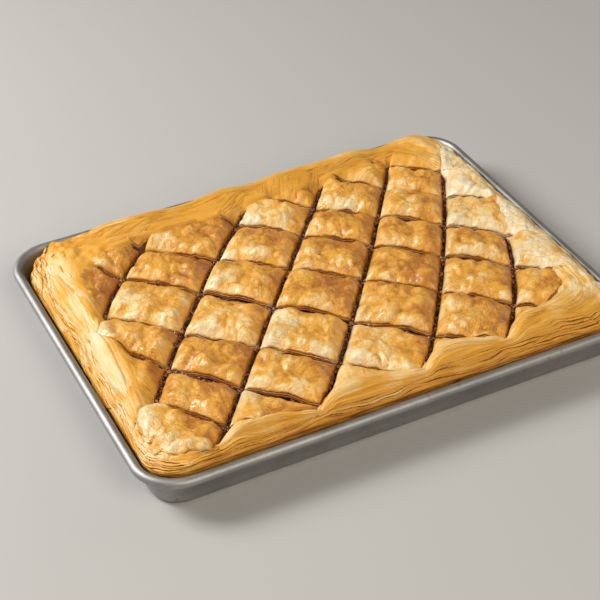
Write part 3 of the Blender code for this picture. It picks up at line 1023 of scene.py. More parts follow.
@dataclass
class Diamond:
    """A puffed diamond: its wrinkled top, the sheets' edges on its sides, the nuts below them and its base.

    The knife leaned, so the sides that face lean_to slope out more and have a sharper upper edge. recess and
    lip are each given for the far sides and for those. wrinkle_turn is the direction of the wrinkles, which
    wander by bend. warmer is how much browner it is where it lies over the border.
    """

    cell: Cell
    border: "Border"
    lift: float
    tilt: Pair
    turn: float
    brown: float
    count: int = 176
    lean_to: Pair = (-0.35, -0.94)
    recess: Pair = (0.3, 1.7)
    lip: Pair = (1.9, 0.5)
    sheet: float = 0.95
    sheets: int = 3
    nuts_high: float = 23.0
    nuts_low: float = 12.0
    foot: float = 1.6
    edge_steps: tuple[float, ...] = (0.0, 0.06, 0.2, 0.42, 0.7, 1.0)
    warmer: float = 0.3
    core_rings: int = 24
    wrinkle_turn: float = 48.0
    bend: float = 1.6
    pleat_high: float = 0.35
    edge_sink: float = 1.1
    fold_high: float = 2.6
    browning_and_painted_light: BrowningAndPaintedLight = BrowningAndPaintedLight()

    def relief(self, x: Array, y: Array) -> Arrays:
        """Blisters and wrinkles on the top.

        Args:
            x, y: places along and across the tray.

        Returns:
            Their height, how near each place is to a crease, and the small swells alone.
        """
        bend_x = x + self.bend * ripples(x / 9, y / 9, 31)
        bend_y = y + self.bend * ripples(x / 9, y / 9, 32)
        turn = math.radians(self.wrinkle_turn) + 0.5 * math.cos(self.turn * 2)
        along, across = turned(bend_x, bend_y, turn)
        left, _, far, near = self.cell.edges(x, y)
        patch = 0.6 + 0.5 * ripples(x / 14 + self.turn, y / 14, 30)
        broad, flutes, frills, small = (puffs.at(along, across) for puffs in (BROAD, FLUTES, FRILLS, SMALL))
        tiny = TINY.at(x, y)
        pleats = ripples(across / 19, along / 2.3, 35)
        # Flutes run along the near edge, frills along the left one and pleats along the far one.
        fluted = smooth(1.1 - near / 16) * patch
        frilled = smooth(1 - left / 7) * patch
        pleated = smooth(1.1 - far / 13)
        height = BROAD.rise(broad) + FLUTES.rise(flutes) * fluted + FRILLS.rise(frills) * frilled
        height = height + self.pleat_high * pleats * (0.25 + 0.75 * pleated)
        height = height + SMALL.rise(small) * (1 - 0.5 * pleated)
        height = height + TINY.rise(tiny) * (0.3 + 0.7 * smooth(1 - left / 4))
        height = height + 0.5 * ripples(x / 17, y / 17, 26)
        # How far the top is swollen, weighted by the painted highlight that each kind of swell gives.
        swells = BROAD.pale * broad + FLUTES.pale * flutes * fluted + FRILLS.pale * frills * frilled
        swells = swells + SMALL.pale * small + TINY.pale * tiny
        # How near a crease each place is, where the top gets painted shade.
        crease = smooth(1 - np.minimum(broad / 0.25, flutes / 0.2 + 2 * (1 - fluted)))
        return height, crease, swells

    def baked(self, x: Array, y: Array, room: Array, crease: Array, swells: Array) -> Array:
        """How brown the top is, with painted highlight and painted shade, before the border has a say.

        Args:
            x, y: places along and across the tray.
            room: how far inside the diamond they are.
            crease: how near to a crease they are, where painted shade goes.
            swells: how far they are swollen, where painted highlight goes.

        Returns:
            The brownness at each place.
        """
        look = self.browning_and_painted_light
        left, right, far, near = self.cell.edges(x, y)
        far_right = np.clip((np.minimum(left, 45) - right + np.minimum(near, 45) - far) / 60, -1, 1)
        bake = look.base + look.own * (self.brown - look.usual)
        bake = bake + look.patches * ripples(x / 14, y / 14, 39) + look.spots * ripples(x / 5, y / 5, 40)
        # far_right is partly browning and partly painted shade on the sides away from the lamp, and swollen
        # places are drawn paler, a painted highlight.
        bake = bake + look.far_right * far_right + look.swell * (swells - look.flat_swell)
        # A painted highlight along the left edge, and painted shade in the creases.
        bake = bake + look.left_edge_highlight * smooth(1 - left / 5) + look.crease * crease
        return bake + look.rim * smooth(1 - room / 2.0) * (0.5 + ripples(x / 6, y / 6, 29))

    def surface(self, flat: Array) -> Arrays:
        """The top before its edge is rounded.

        Args:
            flat: places along and across the tray.

        Returns:
            The height, how brown and how dark each place is.
        """
        x, y = flat.T
        kind = self.cell.kind
        lean = 0.0
        if kind is Kind.WHOLE:
            middle = self.cell.crossing()
            lean = (x - middle[0]) * self.tilt[0] + (y - middle[1]) * self.tilt[1]
        wrinkle, crease, swells = self.relief(x, y)
        room = self.cell.room(x, y, TO_EDGE)
        fade = 0.4 + 0.6 * smooth(room / 4)
        sink = self.edge_sink * (1 - np.clip(room / 6, 0, 1)) ** 2
        height = SLAB.top(x, y, SLAB.blister) + self.lift + lean + wrinkle * fade - sink
        bake = self.baked(x, y, room, crease * fade, swells)
        # Painted shade in the creases.
        shade = 0.1 * crease * fade
        distance, _, _ = SLAB.inward(x, y)
        crease_in, crest_in, border_bake = SLAB.sizes(x, y, "crease_in", "crest_in", "bake")
        if kind in (Kind.OVER, Kind.DRAPED):
            share = smooth((crease_in + 4 - distance) / 8)
            bake = bake + share * (border_bake + self.warmer - self.brown)
        elif kind is Kind.BULGED:
            folds = bubbles(x / 9, y / 6, 77)
            height = height + self.fold_high * (folds - 0.5) * fade
            # Browner towards the right, and paler on the folds' tops, a painted highlight, and browner between
            # them, painted shade.
            bake = bake + 0.14 * smooth((x + 126) / 16) - 0.25 * (folds - 0.6)
        elif kind is Kind.UNDER:
            height = height - 2.2 * smooth((crease_in - 1.5 - distance) / 5)
        elif kind is Kind.FUSED:
            share = smooth((crease_in + 7 - distance) / 11)
            height_there, bake_there, shade_there = self.border.height(x, y)
            tuck = 0.15 - 0.8 * smooth(1 - (distance - crest_in - 0.5) / 2.5)
            height = height + share * (height_there + tuck - height)
            bake = bake + share * (bake_there - bake)
            shade = shade + share * (shade_there - shade)
        return height, bake, shade

    def side(self, rings: Rings, shrunk: Callable[[Array], Array], edge: Array, recess: Array) -> None:
        """Adds the sides from the base up: the nuts, recessed and bumpy, and the sheets of the upper crust, in
        painted shade.

        Args:
            rings: where they are added.
            shrunk: gives the outline moved in by a distance.
            edge: the height of the sides' upper edge at each point of the outline.
            recess: how far in it lies there.
        """
        run = np.arange(self.count) * (150.0 / self.count)
        # The foot, in full painted shade.
        rings.add(shrunk(1.2), self.foot, 0.8, 1.0, shrunk(0.0))
        rings.add(shrunk(0.3), self.foot + 1.5, 0.8, 1.0, shrunk(0.0))
        # The nut layer, dark brown and darkened further with painted shade.
        for height in np.linspace(self.nuts_low, self.nuts_high, 7):
            bumps = 0.9 - 0.7 * blisters(run / 2.1, height / 2.1, 36)
            rings.add(shrunk(bumps), height, 0.95, 0.95, together(run, height))
        # Each sheet is a lip and a tuck under it, in painted shade that is deeper in the tuck and lower down.
        for level in range(self.sheets):
            depth = self.sheet * (self.sheets - level)
            reach = waves(run / 4.5, level, 37) * 0.22 + waves(run / 1.4, level, 27) * 0.1
            dark = smooth((depth - 0.7) / 3.2)
            for tuck, shade, rise in ((0.6, 0.75, 0.0), (0.05, 0.1, 0.3), (0.0, 0.0, 0.75)):
                height = edge - depth + rise * self.sheet
                bake = self.brown + 0.3 * waves(run / 7, level, 38) + 0.4 * dark
                back = tuck - reach + recess * ((level + 1) / self.sheets) ** 1.4
                rings.add(shrunk(back), height, bake, shade + 0.5 * dark, together(run, height))

    def skin(self) -> Skin:
        """The diamond's mesh, in rings from its base up to the middle of its top.

        Returns:
            The mesh.
        """
        outline, middle = self.cell.outline(self.count)
        away = outline - middle
        length = np.linalg.norm(away, axis=1)
        along = np.roll(outline, -1, axis=0) - np.roll(outline, 1, axis=0)
        facing = (along[:, 1] * self.lean_to[0] - along[:, 0] * self.lean_to[1]) / np.linalg.norm(along, axis=1)
        leaning = smooth(facing * 1.15) * (0.3 if self.cell.kind is Kind.UNDER else 1.0)
        recess = self.recess[0] + (self.recess[1] - self.recess[0]) * leaning
        lip = self.lip[0] + (self.lip[1] - self.lip[0]) * leaning

        def shrunk(by: Array) -> Array:
            """The outline moved in by a distance."""
            return middle + away * np.maximum(1 - by / length, 0.02)[:, None]

        rings = Rings()
        self.side(rings, shrunk, self.surface(shrunk(recess))[0] - lip, recess)
        # The rounded edge, with painted shade on its lower part, and the top.
        steps = [(shrunk(recess + lip * step), step) for step in self.edge_steps]
        core = shrunk(recess + lip + 1.2)
        shares = np.arange(self.core_rings) / self.core_rings
        steps += [(middle + (core - middle) * (1 - share), 1.0) for share in shares]
        for flat, step in steps:
            height, bake, shade = self.surface(flat)
            rounding = lip * (1 - math.sqrt(1 - (1 - step) ** 2))
            grain = together(*turned(*flat.T, self.turn))
            rings.add(flat, height - rounding, bake, shade + 0.25 * smooth(1 - step / 0.3), grain)
        points, bake, shade, grain = rings.columns()
        peak, base, last = len(points), len(points) + 1, len(points) - self.count
        faces = ring_faces(len(rings.rings), self.count)
        for step in range(self.count):
            after = (step + 1) % self.count
            faces += [(last + step, last + after, peak), (after, step, base)]
        points = np.vstack([points, [*middle, rings.heights(-1).mean()], [*middle, self.foot]])
        # The top's middle point, unshaded, and the base's, in full painted shade.
        bake, shade = np.append(bake, [0.4, 0.8]), np.append(shade, [0.0, 1.0])
        return Skin(points, faces, bake, shade, np.vstack([grain, middle, middle])).outward()


@dataclass(frozen=True)
class Fold:
    """A broad smooth fold of the border's topmost sheet.

    start and end each give a place near the fold's end and how far in from the wall it lies. half is half
    its width, and bow is how far its middle bends in.
    """

    start: Triple
    end: Triple
    half: float
    height: float
    bake: float
    bow: float = 0.0


@dataclass(frozen=True)
class Drape:
    """A sheet that lies on the border.

    start and end are places near its two ends. low and high are how far in its edges lie from the wall, as
    shares of the way to the crest. lift is how far it stands off what is below it.
    """

    start: Pair
    end: Pair
    low: float
    high: float
    lift: float
    bake: float
    curl: float = 0.4
    thickness: float = 0.2


@dataclass(frozen=True)
class Gather:
    """A place where the sheets are drawn together: where, at what share of the slope, how much and how wide."""

    place: Pair
    share: float
    pull: float
    reach: float
    spread: float = 0.4


@dataclass(frozen=True)
class Crumple:
    """A place where the topmost sheets are crumpled: where, how far round it and how deep."""

    place: Pair
    reach: float
    depth: float

    def at(self, x: Array, y: Array) -> Array:
        """How deep the sheets are crumpled at each place."""
        return self.depth * np.exp(-((x - self.place[0]) ** 2 + (y - self.place[1]) ** 2) / self.reach**2)


@dataclass
class Border:
    """The raised border: a crumpled stack of sheets along the walls, with loose sheets and flakes on it.

    slope_rows and inner_rows are the rows of points of its outer and inner slopes. cover_drop is how far it
    sinks under diamonds that lie over it, and dive how far it reaches down past the crease. On its cut face,
    wall_sheets sheets of wall_sheet each show from wall_foot up, with grooves wall_tuck deep, and below them
    the levels, which lean off the wall by wall_lean at the floor. raggedness gives the height in sheets, the
    size and the seed of the unevenness of the sheets' edges.
    """

    slab: Slab
    path: RimPath
    over: list[Cell]
    slope_rows: int = 92
    inner_rows: int = 26
    cover_drop: float = 2.0
    dive: float = 14.0
    levels: tuple[float, ...] = (1.6, 6.0, 10.0, 13.0)
    wall_sheet: float = 1.1
    wall_sheets: int = 11
    wall_foot: float = 14.0
    wall_tuck: float = 0.9
    wall_lean: float = 4.0
    wall_lean_top: float = 22.0
    undercut: float = 3.0
    undercut_top: float = 3.0
    raggedness: tuple[tuple[float, float, int], ...] = ((0.3, 17.0, 53), (0.12, 5.0, 58), (0.1, 2.2, 59))
    gathers: tuple[Gather, ...] = (
        Gather((-151, 13), 0.6, 1.2, 14),
        Gather((-151, 100), 0.6, 0.8, 16),
        Gather((-151, -66), 0.9, 0.8, 14),
        Gather((-112, -117), 0.85, 1.3, 14),
        Gather((-55, -117), 0.62, 1.5, 15),
        Gather((10, -117), 0.65, 1.5, 17),
        Gather((68, -117), 0.75, 1.5, 17),
        Gather((116, -117), 0.95, 1.0, 16),
        Gather((-66, 117), 0.6, 0.6, 12),
        Gather((30, 117), 0.8, 0.6, 14),
    )
    folds: tuple[Fold, ...] = (
        Fold((-151, 94, 13.5), (-151, 14, 10.5), 4.4, 1.5, 0.22),
        Fold((-151, 10, 14.0), (-151, -58, 11.5), 4.8, 1.6, -0.06),
        Fold((-151, -54, 9.5), (-151, -104, 9.0), 3.0, 0.9, 0.2),
        Fold((-151, -62, 15.0), (-151, -100, 13.5), 2.8, 0.8, 0.28),
        Fold((-151, 62, 19.5), (-151, 17, 21.0), 3.6, 0.9, 0.4),
        Fold((-112, -117, 9.5), (-55, -117, 9.5), 3.6, 0.8, 0.18, 4.0),
        Fold((-55, -117, 10.0), (10, -117, 11.0), 4.0, 0.8, 0.16, 5.0),
        Fold((10, -117, 11.0), (68, -117, 13.0), 4.0, 0.8, 0.17, 4.0),
        Fold((68, -117, 13.0), (118, -117, 19.0), 4.2, 0.9, 0.16, 2.0),
        Fold((134, 117, 9.0), (40, 117, 8.0), 4.0, 0.9, 0.27),
        Fold((36, 117, 9.0), (-62, 117, 8.0), 4.0, 0.9, 0.26),
        Fold((-80, 117, 15.0), (-126, 117, 19.0), 3.4, 0.8, 0.42),
        Fold((-62, 117, 26.0), (-94, 117, 27.0), 2.8, 0.8, 0.4),
        Fold((-97, 117, 30.0), (-131, 117, 24.0), 2.8, 1.9, 0.32),
        Fold((-66, 117, 8.0), (-110, 117, 8.0), 4.0, 1.0, 0.28),
    )
    drapes: tuple[Drape, ...] = (
        Drape((-150, 34), (-150, -4), 0.1, 0.28, 0.9, 0.4, 0.7),
        Drape((-150, -4), (-150, -48), 0.08, 0.26, 0.9, 0.35, 0.7),
    )
    crumples: tuple[Crumple, ...] = (
        Crumple((-138, 102), 20, 2.2),
        Crumple((-142, -104), 15, 0.9),
        Crumple((134, -84), 17, 1.3),
        Crumple((142, -104), 14, 0.9),
        Crumple((132, 108), 14, 0.7),
        Crumple((-114, 98), 16, 1.3),
    )
    flakes: int = 44

    def __post_init__(self) -> None:
        """Finds where along the wall each gather and fold lies."""
        self.gathered = [(self.path.run_at(*gather.place), gather) for gather in self.gathers]
        self.total = float(self.path.stations[2][-1])
        self.folded = []
        for fold in self.folds:
            first, last = self.path.run_at(*fold.start[:2]), self.path.run_at(*fold.end[:2])
            self.folded.append((first, (last - first) % self.total, fold))

    def share(self, run: Array, inset: Array, crest_in: Array) -> Array:
        """The share of the way to the crest, drawn together at the gathers.

        Args:
            run, inset: places along the wall and in from it.
            crest_in: how far in the crest is there.

        Returns:
            The share, from 0 at the wall to 1 at the crest and more past it.
        """
        part = inset / crest_in
        drawn = part
        for at, gather in self.gathered:
            away = np.mod(run - at + self.total / 2, self.total) - self.total / 2
            off = part - gather.share
            near = np.exp(-((away / gather.reach) ** 2) - (off / gather.spread) ** 2)
            drawn = drawn + gather.pull * off * near
        return drawn

    def folding(self, run: Array, inset: Array) -> Arrays:
        """The broad folds.

        Args:
            run, inset: places along the wall and in from it.

        Returns:
            Their height, how far they cover what is below them, and how brown they are there.
        """
        height, cover, brown = 0.0 * run, 0.0 * run, 0.0 * run
        for first, span, fold in self.folded:
            margin = (self.total - span) / 2
            along = (np.mod(run - first + margin, self.total) - margin) / span
            beyond = span * np.maximum(np.maximum(-along, along - 1), 0)
            along = np.clip(along, 0, 1)
            middle = fold.start[2] + (fold.end[2] - fold.start[2]) * along + 4 * fold.bow * along * (1 - along)
            middle = middle + 0.9 * ripples(run / 23, first, 55)
            half = fold.half * (0.55 + 0.45 * np.sin(np.pi * along))
            off = np.hypot((inset - middle) / half, beyond / (2 * half))
            mask = smooth((1.15 - off) / 0.6)
            height = np.maximum(height, fold.height * np.sqrt(np.maximum(1 - off**2, 0)))
            brown = brown + mask * (fold.bake - brown)
            cover = np.maximum(cover, mask)
        return height, cover, brown

    def sheet_edge(self, run: Array, sheet: Array) -> Array:
        """Where a sheet's ragged edge lies, as a level."""
        return sheet + sum(high * waves(run / size, sheet, seed) for high, size, seed in self.raggedness)

    def sheet_at(self, run: Array, level: Array) -> Arrays:
        """Which sheet shows at a level.

        Args:
            run: places along the wall.
            level: their levels in the stack, in sheets.

        Returns:
            The sheet's number, and how far in from its edge each place is, from 0 to 1 at the next one's edge.
        """
        sheet = np.floor(level)
        sheet = sheet - (level < self.sheet_edge(run, sheet)) + (level >= self.sheet_edge(run, sheet + 1))
        edge, following = self.sheet_edge(run, sheet), self.sheet_edge(run, sheet + 1)
        return sheet, np.clip((level - edge) / np.maximum(following - edge, 0.05), 0, 1)

    def relief(self, run: Array, inset: Array) -> Arrays:
        """What stands off the border's plain form.

        Args:
            run, inset: places along the wall and in from it.

        Returns:
            The height off the form, how brown and how dark each place is, the dark being painted shade.
        """
        x, y = self.path.place(run, inset)
        crest_in, layers, lip, wander, reach, fold, pucker, gap = self.slab.sizes(
            x, y, "crest_in", "layers", "lip", "wander", "reach", "fold", "pucker", "wall_gap"
        )
        part = self.share(run, inset, crest_in)
        folds, cover, fold_brown = self.folding(run, inset)
        # Where the stack's edges show, and which sheet's edge is the nearest below.
        stacked = (1 - smooth((part - reach) / 0.3)) * (1 - 0.55 * cover)
        level = layers * (0.7 * np.sin(np.clip(part, 0, 1) * math.pi / 2) ** 0.8 + 0.3 * part)
        level = level + wander * 1.1 * ripples(run / 34, part * 1.6, 41)
        level = level + wander * 0.8 * ripples(run / 11, part * 2.5, 43)
        sheet, tuck = self.sheet_at(run, level)
        proud = 0.3 + 0.95 * smooth(0.5 + 0.9 * waves(run / 22, sheet, 47))
        clear = smooth((inset - gap) / 0.8)
        stack = lip * proud * (1 - tuck) ** 1.2 * stacked * clear
        # Folds, puckers, fibres and the creases of the crumpled places.
        inner = smooth((part - 0.9) / 0.4)
        crumpled = sum(crumple.at(x, y) for crumple in self.crumples)
        calm = 1 - smooth(crumpled / 0.6)
        plain = (1 - inner) * calm
        broad_fibres = blisters(run / 38, level * 0.5, 65, 0.06)
        fibres = (0.75 * broad_fibres + 0.45 * blisters(run / 22, level * 1.05, 66, 0.06)) * plain
        folds = folds + fold * (blisters(run / 52, part * 2.1, 61) * 1.8 - 0.5) * (1 - cover)
        puckers = blisters(run / 12, inset / 8, 63) * 1.7 - 0.5 + 0.3 * ripples(run / 4, inset / 4, 64)
        puckers = pucker * puckers * (0.4 + 0.6 * inner)
        hills = blisters(x / 9, y / 9, 74)
        creases = crumpled * (1.7 * hills + 0.9 * bubbles(x / 4.5, y / 4.5, 75) - 0.9)
        height = stack + (folds + puckers + fibres + creases) * smooth(inset / 3)
        # How brown, partly painted light.
        bake, slope_bake, wall_bake, inner_bake = self.slab.sizes(
            x, y, "bake", "slope_bake", "wall_bake", "inner_bake"
        )
        brown = bake + (slope_bake - bake) * smooth((1.05 - part) / 0.5)
        brown = brown + (wall_bake - slope_bake) * smooth(1 - part * 2.4)
        brown = brown + (inner_bake - bake) * smooth((part - 0.8) / 0.4)
        brown = brown + cover * (fold_brown - brown) + 0.12 * ripples(x / 16, y / 16, 68)
        streaks = 0.13 * ripples(run / 60, level * 0.4, 69) + 0.14 * ripples(run / 40, level * 0.95, 70)
        brown = brown + streaks * (0.5 + 0.5 * stacked) * (1 - 0.9 * inner) * calm
        # Paler on the crumpled hills, the fibres' ridges and the sheets' lips, a painted highlight, and browner
        # in the fibres' grooves, painted shade.
        brown = brown + np.minimum(crumpled, 1) * (0.14 * ripples(x / 6, y / 6, 76) - 0.1 * hills)
        brown = brown + 0.16 * (0.45 - broad_fibres) * plain
        brown = brown + (0.16 * (hashed(sheet, 0, 67) - 0.5) - 0.12 * (tuck < 0.2) * proud) * stacked
        # How dark: painted shade under the sheets' edges, more of it lower down the slope, and next to the
        # wall.
        deep = 0.2 + 0.8 * smooth(1.5 - 2.2 * part)
        broken = 0.5 + 0.5 * smooth(0.5 + 1.6 * ripples(run / 9, sheet * 0.7, 48))
        dark = stacked * 0.9 * smooth((tuck - 0.55) / 0.4) * proud * deep * clear * broken
        dark = dark + (0.2 + 0.2 * ripples(run / 13, 0.0, 57)) * (1 - clear)
        return height, brown, np.clip(dark, 0, 1)

    def surface(self, run: Array, inset: Array) -> Arrays:
        """The border's upper side with its relief.

        Args:
            run, inset: places along the wall and in from it, as a grid.

        Returns:
            The points, how brown and how dark each one is.
        """
        x, y = self.path.place(run, inset)
        skirt = 2.4 * smooth((inset - self.slab.side(x, y, "crease_in") + 3.4) / 3.0)
        plain = together(x, y, self.slab.top(x, y, 0.0) - skirt)
        cover = np.max([smooth(cell.room(x, y, TO_WALL) / 2.5) for cell in self.over], axis=0)
        height, brown, dark = self.relief(run, inset)
        height = height * (1 - 0.7 * cover) - self.cover_drop * cover
        return plain + normals_of(plain) * height[..., None], brown, dark

    def height(self, x: Array, y: Array) -> Arrays:
        """How high the border's upper side is, how brown and how dark."""
        height, brown, dark = self.relief(*self.path.locate(x, y))
        return self.slab.top(x, y, 0.0) + height, brown, dark

    def reached(self, run: Array, name: str) -> Array:
        """How far in from the wall each station meets the line that a border size describes.

        Args:
            run: the stations' places along the wall.
            name: the size's name.

        Returns:
            The distance at each station.
        """
        inset = 0.0 * run
        for _ in range(8):
            inset = (inset + self.slab.side(*self.path.place(run, inset), name)) / 2
        return inset

    def cut_face(self, rings: Rings, run: Array, gap: Array) -> None:
        """Adds the stack's cut face, from the upper side down along the wall to its foot, with painted shade.

        Args:
            rings: where it is added, below the rest.
            run: the stations' places along the wall.
            gap: how far the stack stands off the wall there.
        """
        # Each level and each groove under a sheet gets painted shade, and each sheet's lip a little.
        steps = [(level, 0.0, 0.45) for level in self.levels]
        for sheet in range(self.wall_sheets):
            low = self.wall_foot + self.wall_sheet * sheet
            steps += [(low, self.wall_tuck, 0.7), (low + 0.35 * self.wall_sheet, 0.0, 0.1)]
        for level, tuck, shade in steps[::-1]:
            lean = self.wall_lean * max(1 - level / self.wall_lean_top, 0)
            undercut = self.undercut if level < self.undercut_top else 0.0
            back = gap + lean + 0.35 * ripples(run / 9, level / 2, 73) + tuck
            height = level + 0.5 * ripples(run / 16, level / 3, 51) * (level > self.levels[-1])
            bake = 0.5 + 0.35 * ripples(run / 14, level / 2, 52)
            shade = shade * (0.6 + 0.5 * ripples(run / 18, level / 3, 54))
            flat = together(*self.path.place(run, back + undercut))
            height = np.minimum(height, rings.heights(0) - 0.25)
            rings.add(flat, height, bake, shade, together(run, -level), first=True)

    def body(self) -> Skin:
        """The stack itself, as a closed ring round the diamonds.

        Returns:
            Its mesh.
        """
        run = self.path.stations[2][:-1]
        gap, crest_in, crease_in = (self.reached(run, name) for name in ("wall_gap", "crest_in", "crease_in"))
        slope = np.linspace(0, 1, self.slope_rows + 1)[:-1] ** 1.2
        inner = np.linspace(0, 1, self.inner_rows)
        inset = np.concatenate([
            gap[:, None] + (crest_in - gap)[:, None] * slope,
            crest_in[:, None] + (crease_in - 0.4 - crest_in)[:, None] * inner,
        ], axis=1)
        points, brown, dark = self.surface(np.broadcast_to(run[:, None], inset.shape), inset)
        rings = Rings()
        for k in range(inset.shape[1]):
            rings.add(points[:, k, :2], points[:, k, 2], brown[:, k], dark[:, k], together(run, inset[:, k]))
        self.cut_face(rings, run, gap)
        # Past the crease, the stack ends under the diamonds, in painted shade that deepens as it sinks.
        for sink, shade in ((1.2, 0.5), (3.5, 0.8), (self.dive, 1.0)):
            flat = together(*self.path.place(run, crease_in + 0.05 * sink))
            rings.add(flat, points[:, -1, 2] - sink, 0.8, shade, together(run, crease_in + sink))
        count, rows = len(run), len(rings.rings)
        last = (rows - 1) * count
        faces = ring_faces(rows, count)
        faces += [(last + k, last + (k + 1) % count, (k + 1) % count, k) for k in range(count)]
        points, *masks = rings.columns()
        return Skin(points, faces, *masks).outward()

    def strip(self, run: Pair, drape: Drape, seed: int) -> Skin:
        """A loose sheet on the border, with ragged edges that lift.

        Args:
            run: where it begins and ends along the wall.
            drape: its edges, its lift and its colour.
            seed: picks its own unevenness.

        Returns:
            The sheet.
        """
        length = abs(run[1] - run[0])
        rows, count = max(6, round(length / 0.9)), max(5, round((drape.high - drape.low) * 16 / 0.55))
        q, v = np.meshgrid(np.linspace(0, 1, rows), np.linspace(-1, 1, count), indexing="ij")
        line = run[0] + (run[1] - run[0]) * q
        crest_in = self.slab.side(*self.path.place(line, self.path.measured_in), "crest_in")
        taper = np.sin(np.pi * np.clip(q, 0.012, 0.988)) ** 0.8
        sway = 0.12 * ripples(line / 26, seed, 81) + 0.04 * ripples(line / 7, seed, 82)
        half = (drape.high - drape.low) / 2 * taper * (1 + 0.22 * ripples(line / 9, v + seed, 83))
        half = half * (1 + 0.06 * waves(line / 1.1, seed, 84))
        inset = ((drape.low + drape.high) / 2 + sway + v * half) * crest_in
        x, y = self.path.place(line, inset)
        plain = together(x, y, self.slab.top(x, y, 0.0))
        height, brown, _ = self.relief(line, inset)
        rim = smooth((np.abs(v) - 0.55) / 0.45)
        curl = drape.curl * rim * np.maximum(ripples(line / 8, v + seed, 85), -0.2)
        ridge = 0.35 * blisters(line / 30, inset / 3.6, 86 + seed % 7)
        ridge = (ridge + 0.1 * ripples(line / 22, inset / 1.3, 87)) * (drape.lift > 0.4)
        stand = 0.45 * height + drape.lift * (1 - 0.55 * rim) + curl + ridge
        bake = drape.bake + 0.1 * ripples(line / 18, inset / 4, 88) + 0.12 * rim + 0.3 * (brown - 0.35)
        grid = plain + normals_of(plain) * stand[..., None]
        # Painted shade along its lifted edges.
        return plate(grid, drape.thickness, bake, 0.06 * rim, together(line, inset))

    def loose(self) -> list[Skin]:
        """The named drapes and the small flakes that stand off the stack.

        Returns:
            A mesh for each.
        """
        run_at = self.path.run_at
        made = []
        for index, drape in enumerate(self.drapes):
            made.append(self.strip((run_at(*drape.start), run_at(*drape.end)), drape, index + 3))
        chance = random.Random(5)
        front = (run_at(-140, -120), run_at(140, -120))
        left = (run_at(-150, 112), run_at(-150, -110))
        corner = (run_at(-125, 116), run_at(-150, 96))
        for index in range(self.flakes):
            span = chance.choice((front, front, left, left, (0.0, self.total)))
            at = chance.uniform(*span)
            length = chance.uniform(5, 10) if chance.random() < 0.6 else chance.uniform(10, 22)
            low = chance.uniform(0.14, 0.8)
            wide = chance.uniform(0.04, 0.10)
            lift = chance.uniform(0.1, 0.6)
            if index % 5 == 0:
                at, length, lift = chance.uniform(*corner), chance.uniform(3, 7), chance.uniform(0.4, 0.9)
            bake = chance.uniform(0.0, 0.5)
            flake = Drape((0, 0), (0, 0), low, low + wide, lift, bake, curl=0.9, thickness=0.12)
            made.append(self.strip((at, at + length), flake, 100 + index))
        return made


@dataclass
class Filling:
    """Nuts and syrup in the cuts: a dark bumpy bed with chopped nuts on it.

    The bed lies bed_depth below the pastry's upper side, is bed_thick and leaves bed_margin free along the
    tray's edge. bed_step is the distance between its points. Nuts reach past_cut past a cut's edges.
    """

    slab: Slab
    bed_depth: float = 3.6
    bed_thick: float = 4.0
    bed_margin: float = 14.0
    bed_step: float = 1.15
    past_cut: float = 0.4
    big_nuts: int = 1100
    small_nuts: int = 3400

    def bed(self) -> Skin:
        """The nuts and syrup under the crust, seen only through the cuts and darkened there with painted shade.

        Returns:
            Its mesh.
        """
        half_x, half_y = self.slab.length / 2 - self.bed_margin, self.slab.width / 2 - self.bed_margin
        lines = np.arange(-half_x, half_x, self.bed_step), np.arange(-half_y, half_y, self.bed_step)
        x, y = np.meshgrid(*lines, indexing="ij")
        distance, _, _ = self.slab.inward(x, y)
        under = 9.0 * smooth((self.slab.side(x, y, "crest_in") - distance) / 6)
        bumps = 1.1 * blisters(x / 2.6, y / 2.6, 95) + 0.5 * ripples(x / 1.3, y / 1.3, 96)
        height = self.slab.top(x, y, 0.0) - self.bed_depth - under + bumps
        bake = 1.05 + 0.2 * ripples(x / 3, y / 3, 97)
        # Dark brown nuts and syrup, drawn darker still with painted shade, deep as they lie in the cuts.
        return plate(together(x, y, height), self.bed_thick, bake, 0.8 + 0 * bake, together(x, y))

    def nuts(self, chance: random.Random, count: int, sizes: Pair, steps: int) -> Skin:
        """Chopped nuts, spread over the cuts.

        Args:
            chance: the random draw.
            count: how many nuts.
            sizes: the smallest and the largest, across.
            steps: how often each one's faces are divided.

        Returns:
            All of them.
        """
        ball, ball_faces = icosphere(steps)
        cuts = LONG_CUTS + CROSS_CUTS
        weights = [(cut.end - cut.start) * cut.half_width for cut in cuts]
        points, bakes, shades = [], [], []
        for index in range(count):
            cut = chance.choices(cuts, weights)[0]
            along = chance.uniform(cut.start, cut.end)
            across = chance.uniform(-1, 1) * (cut.half_width + self.past_cut)
            x, y = cut.point(along, across)
            edge = float(self.slab.top(*map(np.array, cut.point(along, 0.0)), 0.0))
            size = chance.uniform(*sizes) / 2
            stretch = np.array([chance.uniform(0.7, 1.3) for _ in range(3)]) * size
            spin = Matrix.Rotation(chance.uniform(0, 6.28), 3, Vector([chance.gauss(0, 1) for _ in range(3)]))
            rough = 1 + 0.22 * waves(ball[:, 0] * 2 + index, ball[:, 1] * 2 + ball[:, 2] * 3, 98)
            shape = (ball * stretch * rough[:, None]) @ np.array(spin)
            depth = chance.uniform(0.9, 3.0)
            points.append(shape + (x, y, edge - depth))
            bakes.append(np.full(len(shape), chance.uniform(0.6, 1.2)))
            shades.append(np.full(len(shape), chance.uniform(0.3, 0.95)))
        size = len(ball)
        starts = range(0, count * size, size)
        faces = [tuple(corner + start for corner in face) for start in starts for face in ball_faces]
        flat = np.concatenate(points)
        return Skin(flat, faces, np.concatenate(bakes), np.concatenate(shades), flat[:, :2]).outward()


def icosphere(steps: int) -> tuple[Array, Faces]:
    """A ball of radius 1.

    Args:
        steps: how often its faces are divided.

    Returns:
        Its points and faces.
    """
    ball = bmesh.new()
    bmesh.ops.create_icosphere(ball, subdivisions=steps, radius=1.0)
    points = np.array([vert.co[:] for vert in ball.verts])
    faces = [tuple(vert.index for vert in face.verts) for face in ball.faces]
    ball.free()
    return points, faces


